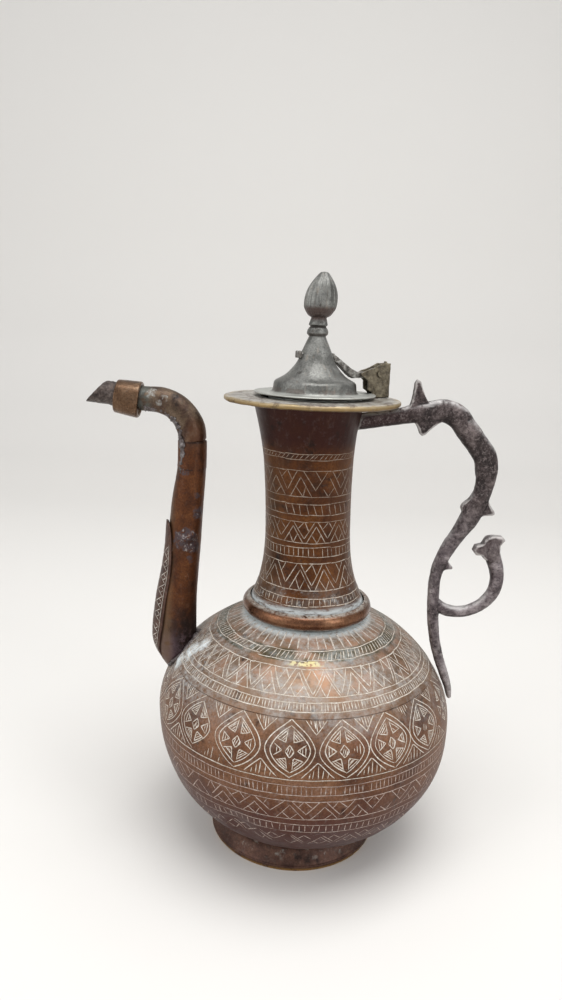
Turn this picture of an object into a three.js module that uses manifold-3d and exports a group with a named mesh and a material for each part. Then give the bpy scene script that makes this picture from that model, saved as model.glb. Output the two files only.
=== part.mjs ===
// Copper ewer with a hinged lid: belly of two raised halves on a foot ring, waisted neck, flat rim,
// tall bent spout, cast handle. Millimetres, +Z up. The spout points to -X and the handle to +X.
import * as THREE from 'three';
import { mergeVertices } from 'three/addons/utils/BufferGeometryUtils.js';
import Module from 'manifold-3d';

const wasm = await Module();
wasm.setup();

// Sheet and fits
const WALL = 1.3; // raised copper sheet
const JOINT_GAP = 0.3; // between soldered neighbours
const PIN_PLAY = 0.08; // between the hinge pin and what turns on it

// Foot ring
const FOOT_RADIUS = 53.6; // on the table
const FOOT_TOP_RADIUS = 49.6; // where it meets the belly
const FOOT_HEM_HEIGHT = 3.2;
const FOOT_HEM_WIDTH = 3.4;

// Belly
const BELLY_RADIUS = 93;
const BELLY_MID_Z = 88; // height of the widest line
const SHOULDER_REACH = 67; // from the widest line up to where the shoulder curve would close
const SHOULDER_FULLNESS = 1.792; // 2 is an ellipse, less is more conical
const BOWL_REACH = 84.1;
const BOWL_FULLNESS = 2.368;
const BELLY_BOTTOM_Z = 8.5; // underside of the flat bottom, inside the foot
const SEAM_Z = 118; // edge of the upper half
const SEAM_LAP = 6; // overlap of the two halves
const SEAM_STEP = 0.4; // the upper half stands proud by this much
const BELLY_OFFSET = 3; // raised and soldered by eye, the belly sits this far to the handle's side of the foot
const BOWL_DRIFT = 2; // and its bowl bulges this much further to that side
const BOWL_DRIFT_Z = 50; // below this height by the full amount

// Neck, its hidden stub on the shoulder and the hoop round its root
const STUB_RADIUS = 34;
const STUB_HEIGHT = 7;
const NECK_LEAN = 4.8; // over its height the neck leans this far back to the spout's side
const NECK_WAIST_RADIUS = 26.2;
const NECK_TOP_RADIUS = 33.2;
const HOOP_HEIGHT = 9.4;
const HOOP_THICKNESS = 4.5;

// Rim plate
const RIM_RADIUS = 52.7;
const RIM_TOP_Z = 284;
const RIM_PLATE = 1.6;
const RIM_EDGE = 3.3; // height of the rolled edge
const MOUTH_RADIUS = 30.3;

// Lid
const LID_OFFSET = 1.5; // the lid sits this much towards its hinge
const LID_RADIUS = 36.4;
const LID_FLANGE = 1.6;
const LID_STEP_RADIUS = 25;
const LID_STEP_HEIGHT = 9;
const LID_CONE_HEIGHT = 35.2; // rim top to the top of the cone
const LID_CONE_TOP_RADIUS = 4.9;
const LID_SHEET = 1.2;
const BEZEL_RADIUS = 27.5;
const BEZEL_DEPTH = 5;

// Finial
const FINIAL_HEIGHT = 36.4;
const FINIAL_LEAN = 2.6; // its tip leans this far towards the hinge
const BUD_RADIUS = 9.8;
const BUD_HEIGHT = 25.9;
const FINIAL_COLLAR_RADIUS = 6.2;
const TANG_RADIUS = 2.2;
const TANG_LENGTH = 6;
const BUD_RIBS = 12;
const BUD_RIB_DEPTH = 0.35;

// Hinge, in a frame turned about the axis of the ewer
const HINGE_TURN = 18; // degrees behind the plane of spout and handle
const HINGE_SETBACK = 4.1; // edge of the lid to the pin
const HINGE_RISE = 14.6; // rim top to the pin
const PIN_RADIUS = 1.5;
const PIN_HEAD_RADIUS = 2.5;
const PIN_HEAD_THICKNESS = 1;
const EYE_RADIUS = 3.9;
const EYE_WIDTH = 4.8;
const STRAP_WIDTH = 6.4;
const TANG_RISE = 24.2; // rim top to the middle of the strap's tang
const STRAP_TANG_HEIGHT = 2.4;
const STRAP_TANG_WIDTH = 4;
const CLINCH_REACH = 2; // how far the clinched end stands out of the cone
const EAR_THICKNESS = 1.4;
const EAR_NOSE = 13; // pin to the tip of the leaf on each ear
const EAR_RISE = 6.4; // pin to the top of the ears
const BRACKET_PLAY = 0.7; // edge of the lid to the foot of the bracket
const STOP_REACH = 4.8; // pin to the stop plate
const STOP_RISE = 21.8; // rim top to the tip of the stop plate

// Spout
const SPOUT_WALL = 1.2;
const SPOUT_HOLE_RADIUS = 7.5;
const SPOUT_HOLE_INSET = 13; // from the widest line of the belly
const STEM_TOP_Z = 255;
const STEM_TOP_RADIUS = 8.6;
const SPIGOT_LENGTH = 12;
const SPIGOT_RADIUS = STEM_TOP_RADIUS - SPOUT_WALL - JOINT_GAP;
const SHEATH_THICKNESS = 1.2;
const SHEATH_HALF_ANGLE = 62; // degrees to each side of the outer line
const SHEATH_DROP = 50; // top of the stem down to the point of the sheath
const BEND_RISE = 24.1; // top of the stem up to the middle of the elbow's end
const BEND_REACH = 31; // middle of the stem out to the sleeve
const TIP_TILT = 6.5; // degrees by which sleeve and nozzle point up
const COLLAR_LENGTH = 15;
const COLLAR_RADIUS = 10.9; // at its inner end
const COLLAR_TAPER = 1; // the other end is smaller by this much
const COLLAR_SAG = 1.1; // the sleeve hangs this far below the middle of the tube
const TUBE_END_RADIUS = 7.2; // elbow and nozzle inside the sleeve
const NOZZLE_RADIUS = 7;
const NOZZLE_TOP_LENGTH = 6.4; // sleeve to where the oblique cut leaves the top
const NOZZLE_LENGTH = 16.8; // sleeve to the point

// Handle
const HANDLE_WIDTH = 14.4; // in the plane of the handle, at its widest
const HANDLE_DEPTH = 8.6; // across the casting, at its thickest

// Facets round one turn
const AROUND = 52;
const AROUND_NECK = 36;
const AROUND_TUBE = 20;
const AROUND_PIN = 24;

// Materials, one look for each kind of metal surface
const copper = (color, roughness) => new THREE.MeshStandardMaterial({ color, roughness, metalness: 0.9 });

// Turns a closed geometry into a solid whose faces point out.
function solid(geometry) {
  geometry.deleteAttribute('normal');
  geometry.deleteAttribute('uv');
  const merged = mergeVertices(geometry, 1e-4);
  const triVerts = new Uint32Array(merged.index.array);
  const vertProperties = merged.attributes.position.array;
  const made = new wasm.Manifold(new wasm.Mesh({ numProp: 3, vertProperties, triVerts }));
  if (made.volume() > 0) return made;
  const flipped = triVerts.map((v, i) => triVerts[i - (i % 3) + (2 - (i % 3))]);
  return new wasm.Manifold(new wasm.Mesh({ numProp: 3, vertProperties, triVerts: flipped }));
}

function part(name, body, material) {
  const { vertProperties, triVerts, numProp } = body.getMesh();
  const positions = new Float32Array((vertProperties.length / numProp) * 3);
  for (let i = 0; i < positions.length / 3; i += 1) {
    for (let k = 0; k < 3; k += 1) positions[3 * i + k] = vertProperties[numProp * i + k];
  }
  const geometry = new THREE.BufferGeometry();
  geometry.setAttribute('position', new THREE.BufferAttribute(positions, 3));
  geometry.setIndex(new THREE.BufferAttribute(new Uint32Array(triVerts), 1));
  geometry.computeVertexNormals();
  const mesh = new THREE.Mesh(geometry, material);
  mesh.name = name;
  return mesh;
}

// Revolves a profile of (radius, height) points about the Z axis. A profile off the axis is closed here.
function turned(profile, around = AROUND) {
  const points = profile.map(([r, z]) => new THREE.Vector2(r, z));
  if (points[0].x > 0 || points.at(-1).x > 0) points.push(points[0].clone());
  return solid(new THREE.LatheGeometry(points, around).rotateX(Math.PI / 2));
}

// Closed skin over a row of loops with equal counts of points. With ends joined, the last loop meets the
// first one, which makes a wall round an open bore.
function skin(loops, endsJoined = false) {
  const count = loops[0].length;
  const positions = loops.flat().flatMap((p) => [p.x, p.y, p.z]);
  const index = [];
  const rows = endsJoined ? loops.length : loops.length - 1;
  for (let i = 0; i < rows; i += 1) {
    const a = i * count;
    const b = ((i + 1) % loops.length) * count;
    for (let j = 0; j < count; j += 1) {
      const k = (j + 1) % count;
      index.push(a + j, a + k, b + k, a + j, b + k, b + j);
    }
  }
  if (!endsJoined) {
    const last = (loops.length - 1) * count;
    for (let j = 1; j < count - 1; j += 1) {
      index.push(0, j + 1, j);
      index.push(last, last + j, last + j + 1);
    }
  }
  const geometry = new THREE.BufferGeometry();
  geometry.setAttribute('position', new THREE.Float32BufferAttribute(positions, 3));
  geometry.setIndex(index);
  return solid(geometry);
}

// Smooth way through stations [x, z, ...sizes] in the plane of spout and handle. Each step gives the place,
// the direction along the way and the sizes there.
function way(stations, steps) {
  const places = new THREE.CatmullRomCurve3(stations.map(([x, z]) => new THREE.Vector3(x, 0, z)), false, 'centripetal');
  const sizes = stations[0].slice(2).map((_, k) => stations.map((s) => s[2 + k]));
  return Array.from({ length: steps + 1 }, (_, i) => {
    const t = i / steps;
    const along = t * (stations.length - 1);
    const n = Math.min(Math.floor(along), stations.length - 2);
    return {
      place: places.getPoint(t),
      tangent: places.getTangent(t),
      sizes: sizes.map((row) => THREE.MathUtils.lerp(row[n], row[n + 1], THREE.MathUtils.smoothstep(along - n, 0, 1))),
    };
  });
}

// Spout and handle were drawn by hand over belly, neck and rim. This carries a drawn value along when the two
// values it was drawn between move.
const carry = (drawn, now) => (v) => now[0] + ((v - drawn[0]) * (now[1] - now[0])) / (drawn[1] - drawn[0]);

// Loop of points round one step of a way, given as (across, sideways) offsets in millimetres.
function loopAt({ place, tangent }, offsets) {
  const across = new THREE.Vector3(tangent.z, 0, -tangent.x);
  return offsets.map(([u, v]) => place.clone().addScaledVector(across, u).add(new THREE.Vector3(0, v, 0)));
}

function ellipse(a, b, count = AROUND_TUBE) {
  return Array.from({ length: count }, (_, i) => {
    const angle = (2 * Math.PI * i) / count;
    return [a * Math.cos(angle), b * Math.sin(angle)];
  });
}

// Tube along a way whose stations hold its two half widths; inward shrinks it evenly.
function tube(stations, steps, inward = 0, count = AROUND_TUBE) {
  return skin(way(stations, steps).map((s) => loopAt(s, ellipse(s.sizes[0] - inward, s.sizes[1] - inward, count))));
}

function box(low, high) {
  const size = high.map((v, i) => v - low[i]);
  const geometry = new THREE.BoxGeometry(...size);
  return solid(geometry.translate(...low.map((v, i) => v + size[i] / 2)));
}

// Round bar from one point to another.
function bar(radius, from, to, count = AROUND_PIN) {
  const along = to.clone().sub(from);
  const geometry = new THREE.CylinderGeometry(radius, radius, along.length(), count);
  geometry.applyQuaternion(new THREE.Quaternion().setFromUnitVectors(new THREE.Vector3(0, 1, 0), along.clone().normalize()));
  return solid(geometry.translate(...from.clone().addScaledVector(along, 0.5).toArray()));
}

// Flat outline of (x, z) points, straight through along Y from -half to +half.
function slab(outline, half, y = 0) {
  const shape = new THREE.Shape(outline.map(([x, z]) => new THREE.Vector2(x, z)));
  const geometry = new THREE.ExtrudeGeometry(shape, { depth: 2 * half, bevelEnabled: false });
  return solid(geometry.rotateX(Math.PI / 2).translate(0, y + half, 0));
}

// Belly form
function bellyRadius(z) {
  const above = z > BELLY_MID_Z;
  const reach = above ? SHOULDER_REACH : BOWL_REACH;
  const fullness = above ? SHOULDER_FULLNESS : BOWL_FULLNESS;
  return BELLY_RADIUS * Math.sqrt(1 - (Math.abs(z - BELLY_MID_Z) / reach) ** fullness);
}

// Height on the shoulder or, with side -1, on the bowl where the belly has this radius.
function bellyHeight(radius, side = 1) {
  const reach = side > 0 ? SHOULDER_REACH : BOWL_REACH;
  const fullness = side > 0 ? SHOULDER_FULLNESS : BOWL_FULLNESS;
  return BELLY_MID_Z + side * reach * (1 - (radius / BELLY_RADIUS) ** 2) ** (1 / fullness);
}

// Point of the belly's skin at a height, moved inward along its normal.
function bellySkin(z, inward = 0) {
  const slope = (bellyRadius(z + 0.01) - bellyRadius(z - 0.01)) / 0.02;
  const length = Math.hypot(1, slope);
  return [bellyRadius(z) - inward / length, z + (inward * slope) / length];
}

// Heights between two levels of the belly, closer together where it curves in.
function bellyHeights(low, high, steps) {
  const angle = (z) => Math.asin((z - BELLY_MID_Z) / (z > BELLY_MID_Z ? SHOULDER_REACH : BOWL_REACH));
  return Array.from({ length: steps + 1 }, (_, i) => {
    const a = THREE.MathUtils.lerp(angle(low), angle(high), i / steps);
    return BELLY_MID_Z + (a > 0 ? SHOULDER_REACH : BOWL_REACH) * Math.sin(a);
  });
}

const shoulderTop = bellyHeight(STUB_RADIUS + WALL);
const stubTop = shoulderTop + STUB_HEIGHT;
const neckFoot = shoulderTop + SEAM_STEP + JOINT_GAP;
const neckTop = RIM_TOP_Z - RIM_PLATE - JOINT_GAP;

// Moves a body of the belly off the middle of the foot, the bowl further than the shoulder.
function setOff(body) {
  return body.warp((p) => {
    p[0] += BELLY_OFFSET + BOWL_DRIFT * THREE.MathUtils.smoothstep(SEAM_Z - p[2], 0, SEAM_Z - BOWL_DRIFT_Z);
  });
}

// Everything that the belly fills, with a clearance, for cutting what is soldered to it.
function bellyForm(clearance) {
  const heights = bellyHeights(BELLY_BOTTOM_Z, shoulderTop, 18);
  return setOff(turned([[0, BELLY_BOTTOM_Z - clearance], ...heights.map((z) => bellySkin(z, -clearance)), [0, stubTop]]));
}

// Leans a body of the neck: nothing up to the top of the stub, then evenly back over the rest.
function leaned(body) {
  return body.translate([BELLY_OFFSET, 0, 0]).warp((p) => {
    p[0] -= (NECK_LEAN * Math.max(0, p[2] - stubTop)) / (neckTop - stubTop);
  });
}

// The hole into the spout passes through the lapped edge too.
function bellyLower(hole) {
  const tuck = WALL + JOINT_GAP - SEAM_STEP;
  const outer = bellyHeights(BELLY_BOTTOM_Z, SEAM_Z - JOINT_GAP, 11).map((z) => bellySkin(z));
  const inner = bellyHeights(BELLY_BOTTOM_Z + WALL, SEAM_Z - WALL, 9).map((z) => bellySkin(z, WALL)).reverse();
  return setOff(turned([
    [0, BELLY_BOTTOM_Z],
    ...outer,
    bellySkin(SEAM_Z, tuck),
    bellySkin(SEAM_Z + SEAM_LAP, tuck),
    bellySkin(SEAM_Z + SEAM_LAP, tuck + WALL),
    bellySkin(SEAM_Z + 1, tuck + WALL),
    ...inner,
    [0, BELLY_BOTTOM_Z + WALL],
  ])).subtract(hole);
}

function bellyUpper(hole) {
  const heights = bellyHeights(SEAM_Z, shoulderTop, 7);
  const outer = heights.map((z) => bellySkin(z, -SEAM_STEP));
  const inner = heights.map((z) => bellySkin(z, WALL - SEAM_STEP)).reverse();
  const stub = [
    [STUB_RADIUS, outer.at(-1)[1]],
    [STUB_RADIUS, stubTop],
    [STUB_RADIUS - WALL, stubTop],
    [STUB_RADIUS - WALL, inner[0][1]],
  ];
  return setOff(turned([...outer, ...stub, ...inner])).subtract(hole);
}

function footRing() {
  const seat = bellyHeight(FOOT_TOP_RADIUS, -1);
  const top = seat + BELLY_OFFSET + BOWL_DRIFT;
  const waist = FOOT_TOP_RADIUS - 0.6;
  return turned([
    [FOOT_RADIUS, 0],
    [FOOT_RADIUS, FOOT_HEM_HEIGHT],
    [FOOT_RADIUS - 1.2, FOOT_HEM_HEIGHT + 0.6],
    [(FOOT_RADIUS + waist) / 2 - 0.4, FOOT_HEM_HEIGHT + 3.4],
    [waist, seat - 3],
    [FOOT_TOP_RADIUS, seat],
    [FOOT_TOP_RADIUS + 0.6, top],
    [FOOT_TOP_RADIUS + 0.6 - WALL, top],
    [FOOT_TOP_RADIUS - WALL, seat],
    [waist - WALL, seat - 3.4],
    [(FOOT_RADIUS + waist) / 2 - 0.4 - WALL, FOOT_HEM_HEIGHT + 3],
    [FOOT_RADIUS - FOOT_HEM_WIDTH, FOOT_HEM_HEIGHT],
    [FOOT_RADIUS - FOOT_HEM_WIDTH, 0],
  ]).subtract(bellyForm(JOINT_GAP));
}

function collarRing() {
  const inner = STUB_RADIUS + JOINT_GAP + WALL + JOINT_GAP;
  const bottom = neckFoot;
  const bulge = Array.from({ length: 6 }, (_, i) => {
    const angle = THREE.MathUtils.degToRad(-75 + 30 * i);
    return [inner + HOOP_THICKNESS * Math.cos(angle), bottom + (HOOP_HEIGHT / 2) * (1 + Math.sin(angle))];
  });
  return turned([[inner, bottom], ...bulge, [inner, bottom + HOOP_HEIGHT]], AROUND_NECK).translate([BELLY_OFFSET, 0, 0]);
}

// Outer line of the neck, from its foot to its top.
function neckLine(steps) {
  const foot = STUB_RADIUS + JOINT_GAP + WALL;
  const line = new THREE.SplineCurve([
    new THREE.Vector2(foot, neckFoot + 6.5),
    new THREE.Vector2(foot - 2.7, neckFoot + 14),
    new THREE.Vector2(NECK_WAIST_RADIUS + 3.2, neckFoot + 24),
    new THREE.Vector2(NECK_WAIST_RADIUS + 0.7, neckFoot + 39),
    new THREE.Vector2(NECK_WAIST_RADIUS, neckFoot + 63),
    new THREE.Vector2(NECK_WAIST_RADIUS + 0.9, neckFoot + 94),
    new THREE.Vector2(NECK_TOP_RADIUS - 3.6, neckTop - 17),
    new THREE.Vector2(NECK_TOP_RADIUS, neckTop),
  ]);
  return [[foot, neckFoot], ...line.getPoints(steps).map((p) => [p.x, p.y])];
}

function neck() {
  const line = neckLine(14);
  const bore = line.filter((_, i) => i % 2 === 1 || i === 0).map(([r, z]) => [r - WALL, z]);
  return leaned(turned([...line, ...bore.reverse()], AROUND_NECK));
}

function rimPlate() {
  const bead = RIM_EDGE / 2;
  const roll = Array.from({ length: 5 }, (_, i) => {
    const angle = THREE.MathUtils.degToRad(80 - 40 * i);
    return [RIM_RADIUS - bead + bead * Math.cos(angle), RIM_TOP_Z - bead + bead * Math.sin(angle)];
  });
  return turned([
    [MOUTH_RADIUS, RIM_TOP_Z - RIM_PLATE],
    [MOUTH_RADIUS, RIM_TOP_Z],
    ...roll,
    [RIM_RADIUS - 2 * bead, RIM_TOP_Z - 1.7 * bead],
    [RIM_RADIUS - 2.6 * bead, RIM_TOP_Z - RIM_PLATE],
  ]);
}

// Spout: stations are [x, z, half width in the plane, half width across]
const spoutSide = BELLY_OFFSET - BELLY_RADIUS;
const stemX = carry([0, -90], [0, spoutSide]);
const stemZ = carry([88, 255], [BELLY_MID_Z, STEM_TOP_Z]);
const stemHalf = carry([0, 8.6], [0, STEM_TOP_RADIUS]);
const stemStations = [
  [-70, 98, 7, 7],
  [-73.5, 108, 9, 9],
  [-78.4, 121, 12.6, 11.6],
  [-80, 133, 13.4, 12.2],
  [-79, 155, 12.2, 11.4],
  [-76.6, 176, 10.9, 10.4],
  [-74.7, 197, 10.3, 9.9],
  [-73.1, 218, 9.8, 9.4],
  [-71.1, 238, 8.8, 8.8],
  [-70.9, 255, 8.6, 8.6],
].map(([x, z, a, b]) => [stemX(x), stemZ(z), stemHalf(a), stemHalf(b)]);
const stemTop = stemStations.at(-1);

function spoutStem() {
  const longer = [...stemStations, [stemTop[0], STEM_TOP_Z + 4, STEM_TOP_RADIUS, STEM_TOP_RADIUS]];
  const bore = tube(longer, 11, SPOUT_WALL);
  return tube(stemStations, 12).subtract(bore).subtract(bellyForm(SEAM_STEP + JOINT_GAP));
}

function spoutHole() {
  const x = spoutSide + SPOUT_HOLE_INSET;
  const seat = bellyHeight(BELLY_OFFSET - x);
  const from = new THREE.Vector3(x, 0, seat - 24);
  return bar(SPOUT_HOLE_RADIUS, from, new THREE.Vector3(x, 0, seat + 24), AROUND_TUBE);
}

// Sheet that hugs the outer side of the stem: full width at the belly, drawn to a point at the top.
function spoutSheath() {
  const top = STEM_TOP_Z - SHEATH_DROP;
  const whole = stemStations.filter(([, z], i) => i > 0 && z < top - 2);
  const [below, above] = stemStations.slice(whole.length);
  const share = (top - below[1]) / (above[1] - below[1]);
  const steps = way([...whole, below.map((v, i) => v + share * (above[i] - v))], 12);
  const loops = steps.map((step, i) => {
    const narrowing = Math.sqrt(Math.max(0.004, 1 - (Math.max(0, i / 12 - 0.62) / 0.38) ** 2));
    const half = THREE.MathUtils.degToRad(SHEATH_HALF_ANGLE * narrowing);
    const arc = (grow, turn) => Array.from({ length: 8 }, (_, j) => {
      const angle = Math.PI + turn * half * (1 - (2 * j) / 7);
      return [(step.sizes[0] + grow) * Math.cos(angle), (step.sizes[1] + grow) * Math.sin(angle)];
    });
    return loopAt(step, [...arc(JOINT_GAP + SHEATH_THICKNESS, 1), ...arc(-1, -1)]);
  });
  return skin(loops).subtract(tube(stemStations, 12, -JOINT_GAP)).subtract(bellyForm(SEAM_STEP + JOINT_GAP));
}

// The sleeve starts here. Sleeve and nozzle are built along -X from this place and then tilted.
const collarX = stemTop[0] - BEND_REACH;
const collarZ = STEM_TOP_Z + BEND_RISE;
const tilted = (body) => body.rotate([0, TIP_TILT, 0]).translate([collarX, 0, collarZ]);
const tiltedPlace = (along) => {
  const tilt = THREE.MathUtils.degToRad(TIP_TILT);
  return [collarX - along * Math.cos(tilt), collarZ + along * Math.sin(tilt)];
};

const bendX = carry([-70.9, -101.9], [stemTop[0], collarX]);
const bendZ = carry([255, 279.1], [STEM_TOP_Z, collarZ]);
const bendHalf = carry([8.6, 7.2], [STEM_TOP_RADIUS, TUBE_END_RADIUS]);
const elbowStations = [
  [stemTop[0], STEM_TOP_Z - SPIGOT_LENGTH, SPIGOT_RADIUS, SPIGOT_RADIUS],
  [stemTop[0], STEM_TOP_Z - 1, SPIGOT_RADIUS, SPIGOT_RADIUS],
  [stemTop[0], STEM_TOP_Z + JOINT_GAP + 0.6, STEM_TOP_RADIUS, STEM_TOP_RADIUS],
  ...[
    [-71.9, 262.5, 8.6, 8.6],
    [-75.8, 269.6, 8.3, 8.3],
    [-81.6, 275.1, 8.1, 8.1],
    [-89.2, 278.2, 7.9, 7.9],
    [-97, 278.8, 7.5, 7.5],
  ].map(([x, z, a, b]) => [bendX(x), bendZ(z), bendHalf(a), bendHalf(b)]),
  [collarX, collarZ, TUBE_END_RADIUS, TUBE_END_RADIUS],
  [...tiltedPlace(COLLAR_LENGTH / 2 - JOINT_GAP / 2), TUBE_END_RADIUS, TUBE_END_RADIUS],
];

// Same way, carried on past both ends, for boring it through.
function carriedOn(stations, by) {
  const reach = ([x, z, ...sizes], [x0, z0]) => {
    const length = Math.hypot(x - x0, z - z0);
    return [x + ((x - x0) * by) / length, z + ((z - z0) * by) / length, ...sizes];
  };
  return [reach(stations[0], stations[1]), ...stations, reach(stations.at(-1), stations.at(-2))];
}

function spoutElbow() {
  const stop = box([-200, -20, STEM_TOP_Z - 1], [0, 20, STEM_TOP_Z + JOINT_GAP]);
  const spigot = bar(
    SPIGOT_RADIUS,
    new THREE.Vector3(stemTop[0], 0, STEM_TOP_Z - 2),
    new THREE.Vector3(stemTop[0], 0, STEM_TOP_Z + 1),
    AROUND_TUBE,
  );
  const bore = tube(carriedOn(elbowStations, 3), 14, SPOUT_WALL);
  return tube(elbowStations, 14).subtract(stop).add(spigot).subtract(bore);
}

// Tapered sleeve that hangs a little on the tube it holds.
function spoutCollar() {
  const bore = TUBE_END_RADIUS + JOINT_GAP + COLLAR_SAG;
  const far = COLLAR_RADIUS - COLLAR_TAPER;
  const profile = [
    [bore, 0],
    [COLLAR_RADIUS - 0.5, 0],
    [COLLAR_RADIUS, 1.2],
    [(COLLAR_RADIUS + far) / 2 + 0.1, COLLAR_LENGTH / 2],
    [far, COLLAR_LENGTH - 1.2],
    [far - 0.6, COLLAR_LENGTH],
    [bore, COLLAR_LENGTH],
  ];
  return tilted(turned(profile, AROUND_TUBE).rotate([0, -90, 0]).translate([0, 0, -COLLAR_SAG]));
}

function spoutNozzle() {
  const start = -COLLAR_LENGTH / 2 - JOINT_GAP / 2;
  const topX = -COLLAR_LENGTH - NOZZLE_TOP_LENGTH;
  const tipX = -COLLAR_LENGTH - NOZZLE_LENGTH;
  const stations = [
    [start, 0, TUBE_END_RADIUS, TUBE_END_RADIUS],
    [-COLLAR_LENGTH - 0.5, 0, TUBE_END_RADIUS, TUBE_END_RADIUS],
    [-COLLAR_LENGTH - 3, 0.2, NOZZLE_RADIUS, NOZZLE_RADIUS],
    [topX, 0.2, NOZZLE_RADIUS, NOZZLE_RADIUS],
    [tipX - 4, 0, NOZZLE_RADIUS, NOZZLE_RADIUS],
  ];
  const top = NOZZLE_RADIUS + 0.2;
  const tip = -NOZZLE_RADIUS + 0.6;
  const beyond = slab(
    [
      [topX + 8, top + (8 * (top - tip)) / (topX - tipX)],
      [tipX - 8, tip - (8 * (top - tip)) / (topX - tipX)],
      [tipX - 30, tip],
      [tipX - 30, top + 30],
    ],
    20,
  );
  return tilted(tube(stations, 8).subtract(tube(carriedOn(stations, 3), 9, SPOUT_WALL)).subtract(beyond));
}

// Handle: stations are [x, z, width in the plane, depth across as a share of the full depth]
const handleX = carry([0, 96], [0, BELLY_OFFSET + BELLY_RADIUS]);
const handleZ = carry([88, 284], [BELLY_MID_Z, RIM_TOP_Z]);
const handlePlace = ([x, z]) => [handleX(x), handleZ(z)];
const handleWidth = carry([0, 14.4], [0, HANDLE_WIDTH]);
const handleStation = ([x, z, width, share]) => [handleX(x), handleZ(z), handleWidth(width), share];
const handleSpine = [
  [26, 270, 10.4, 0.8],
  [42, 272.6, 10, 0.82],
  [54, 274.6, 9.8, 0.86],
  [62, 276.6, 11.4, 0.94],
  [71, 278, 13.4, 1],
  [80, 278.6, 13.8, 1],
  [88.6, 274.6, 14, 1],
  [95.4, 265.6, 13, 1],
  [101.4, 258.9, 13.4, 1],
  [106, 252.4, 14.4, 1],
  [107.9, 245, 14.2, 1],
  [108, 237, 12.2, 0.96],
  [106.8, 229.5, 10.8, 0.94],
  [103.4, 221, 12.4, 0.98],
  [100, 212.8, 12, 0.94],
  [95.4, 204.6, 10, 0.88],
  [90, 195.4, 9, 0.84],
  [85.4, 185.2, 8.4, 0.8],
  [82.8, 174.6, 7.5, 0.78],
  [82.6, 162, 7.4, 0.76],
  [83.6, 148, 7.2, 0.76],
  [85.5, 135, 6.7, 0.72],
  [89.2, 121.5, 6.4, 0.74],
  [93.2, 111, 5.8, 0.84],
  [96.8, 101, 4.6, 0.96],
  [98.2, 94, 3, 1],
].map(handleStation);
const scrollSpine = [
  [84.6, 157.5, 7, 0.7],
  [90, 153.6, 7.6, 0.72],
  [97, 152.2, 7.2, 0.74],
  [105, 153.2, 6.9, 0.76],
  [113.4, 157.8, 7.2, 0.78],
  [119.6, 165.4, 7.8, 0.8],
  [121.6, 174.4, 8.4, 0.82],
  [120.2, 182.6, 9, 0.86],
  [117.4, 190, 9.6, 0.9],
  [115.6, 197, 8.6, 0.86],
  [115.2, 200.6, 5, 0.6],
].map(handleStation);

// Bar with a ridge down each face: eight corners, the widest at the ridges.
function castBar(spine, steps) {
  const section = [[0.5, 0], [0.4, 0.3], [0, 0.5], [-0.4, 0.3], [-0.5, 0], [-0.4, -0.3], [0, -0.5], [0.4, -0.3]];
  return skin(way(spine, steps).map((s) => {
    const [width, share] = s.sizes;
    return loopAt(s, section.map(([u, v]) => [u * width, v * share * HANDLE_DEPTH]));
  }));
}

// Thorn: leaf between two feet and a blunt tip, with a bow to each side. Its depth is a share of the full depth.
function thorn(foot, tip, otherFoot, share, blunt) {
  const side = (from, to, bow) => {
    const middle = from.clone().lerp(to, 0.5);
    const normal = new THREE.Vector2(to.y - from.y, from.x - to.x).multiplyScalar(bow);
    return new THREE.QuadraticBezierCurve(from, middle.add(normal), to).getPoints(4);
  };
  const [a, t, b] = [foot, tip, otherFoot].map((p) => new THREE.Vector2(...handlePlace(p)));
  const over = b.clone().sub(a).normalize().multiplyScalar(handleWidth(blunt));
  const round = t.clone().lerp(a.clone().add(b).multiplyScalar(0.5), 0.09);
  const outline = [...side(a, round.clone().sub(over), 0.12), t, ...side(round.clone().add(over), b, 0.12)];
  return slab(outline.map((p) => [p.x, p.y]), (share * HANDLE_DEPTH) / 2);
}

// Head of the scroll: a snout to the inside, a brow and an ear to the outside.
function scrollHead() {
  const outline = [
    [112.4, 187.4], [109.8, 190.6], [106.6, 190.4], [104.4, 193], [105.8, 196.6], [110, 197.6], [112.2, 201.8],
    [116, 202.8], [122, 202.8], [123.6, 200.6], [121, 197], [121.6, 188],
  ].map(handlePlace);
  const shape = new THREE.Shape(outline.map(([x, z]) => new THREE.Vector2(x, z)));
  const bevel = { bevelEnabled: true, bevelThickness: 1.4, bevelSize: 0.9, bevelOffset: -0.9, bevelSegments: 2 };
  const depth = 0.9 * HANDLE_DEPTH - 2 * bevel.bevelThickness;
  const geometry = new THREE.ExtrudeGeometry(shape, { depth, ...bevel });
  return solid(geometry.rotateX(Math.PI / 2).translate(0, depth / 2, 0));
}

function handle() {
  const neckForm = leaned(turned([
    [0, neckFoot],
    ...neckLine(20).map(([r, z]) => [r + JOINT_GAP, z]),
    [0, neckTop],
  ], AROUND_NECK));
  return castBar(handleSpine, 50)
    .add(castBar(scrollSpine, 22))
    .add(scrollHead())
    .add(thorn([56.6, 276], [61.9, 296.8], [72.4, 281], 0.8, 1.8))
    .add(thorn([80, 273], [67, 263.4], [60, 274], 0.8, 1.6))
    .add(thorn([109.6, 228], [115.4, 217], [103, 213.4], 0.7, 1.3))
    .add(thorn([97, 212], [94.4, 221], [103, 230.6], 0.7, 1.7))
    .add(thorn([87, 190.6], [93.2, 181], [84.6, 178], 0.6, 0.9))
    .subtract(neckForm)
    .subtract(bellyForm(SEAM_STEP + JOINT_GAP));
}

// Lid, on its own axis, with its underside at height 0
const lidTop = LID_CONE_HEIGHT - JOINT_GAP;
const lidX = carry([4.9, 25], [LID_CONE_TOP_RADIUS, LID_STEP_RADIUS]);
const lidZ = carry([9, 34.9], [LID_STEP_HEIGHT, lidTop]);

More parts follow.
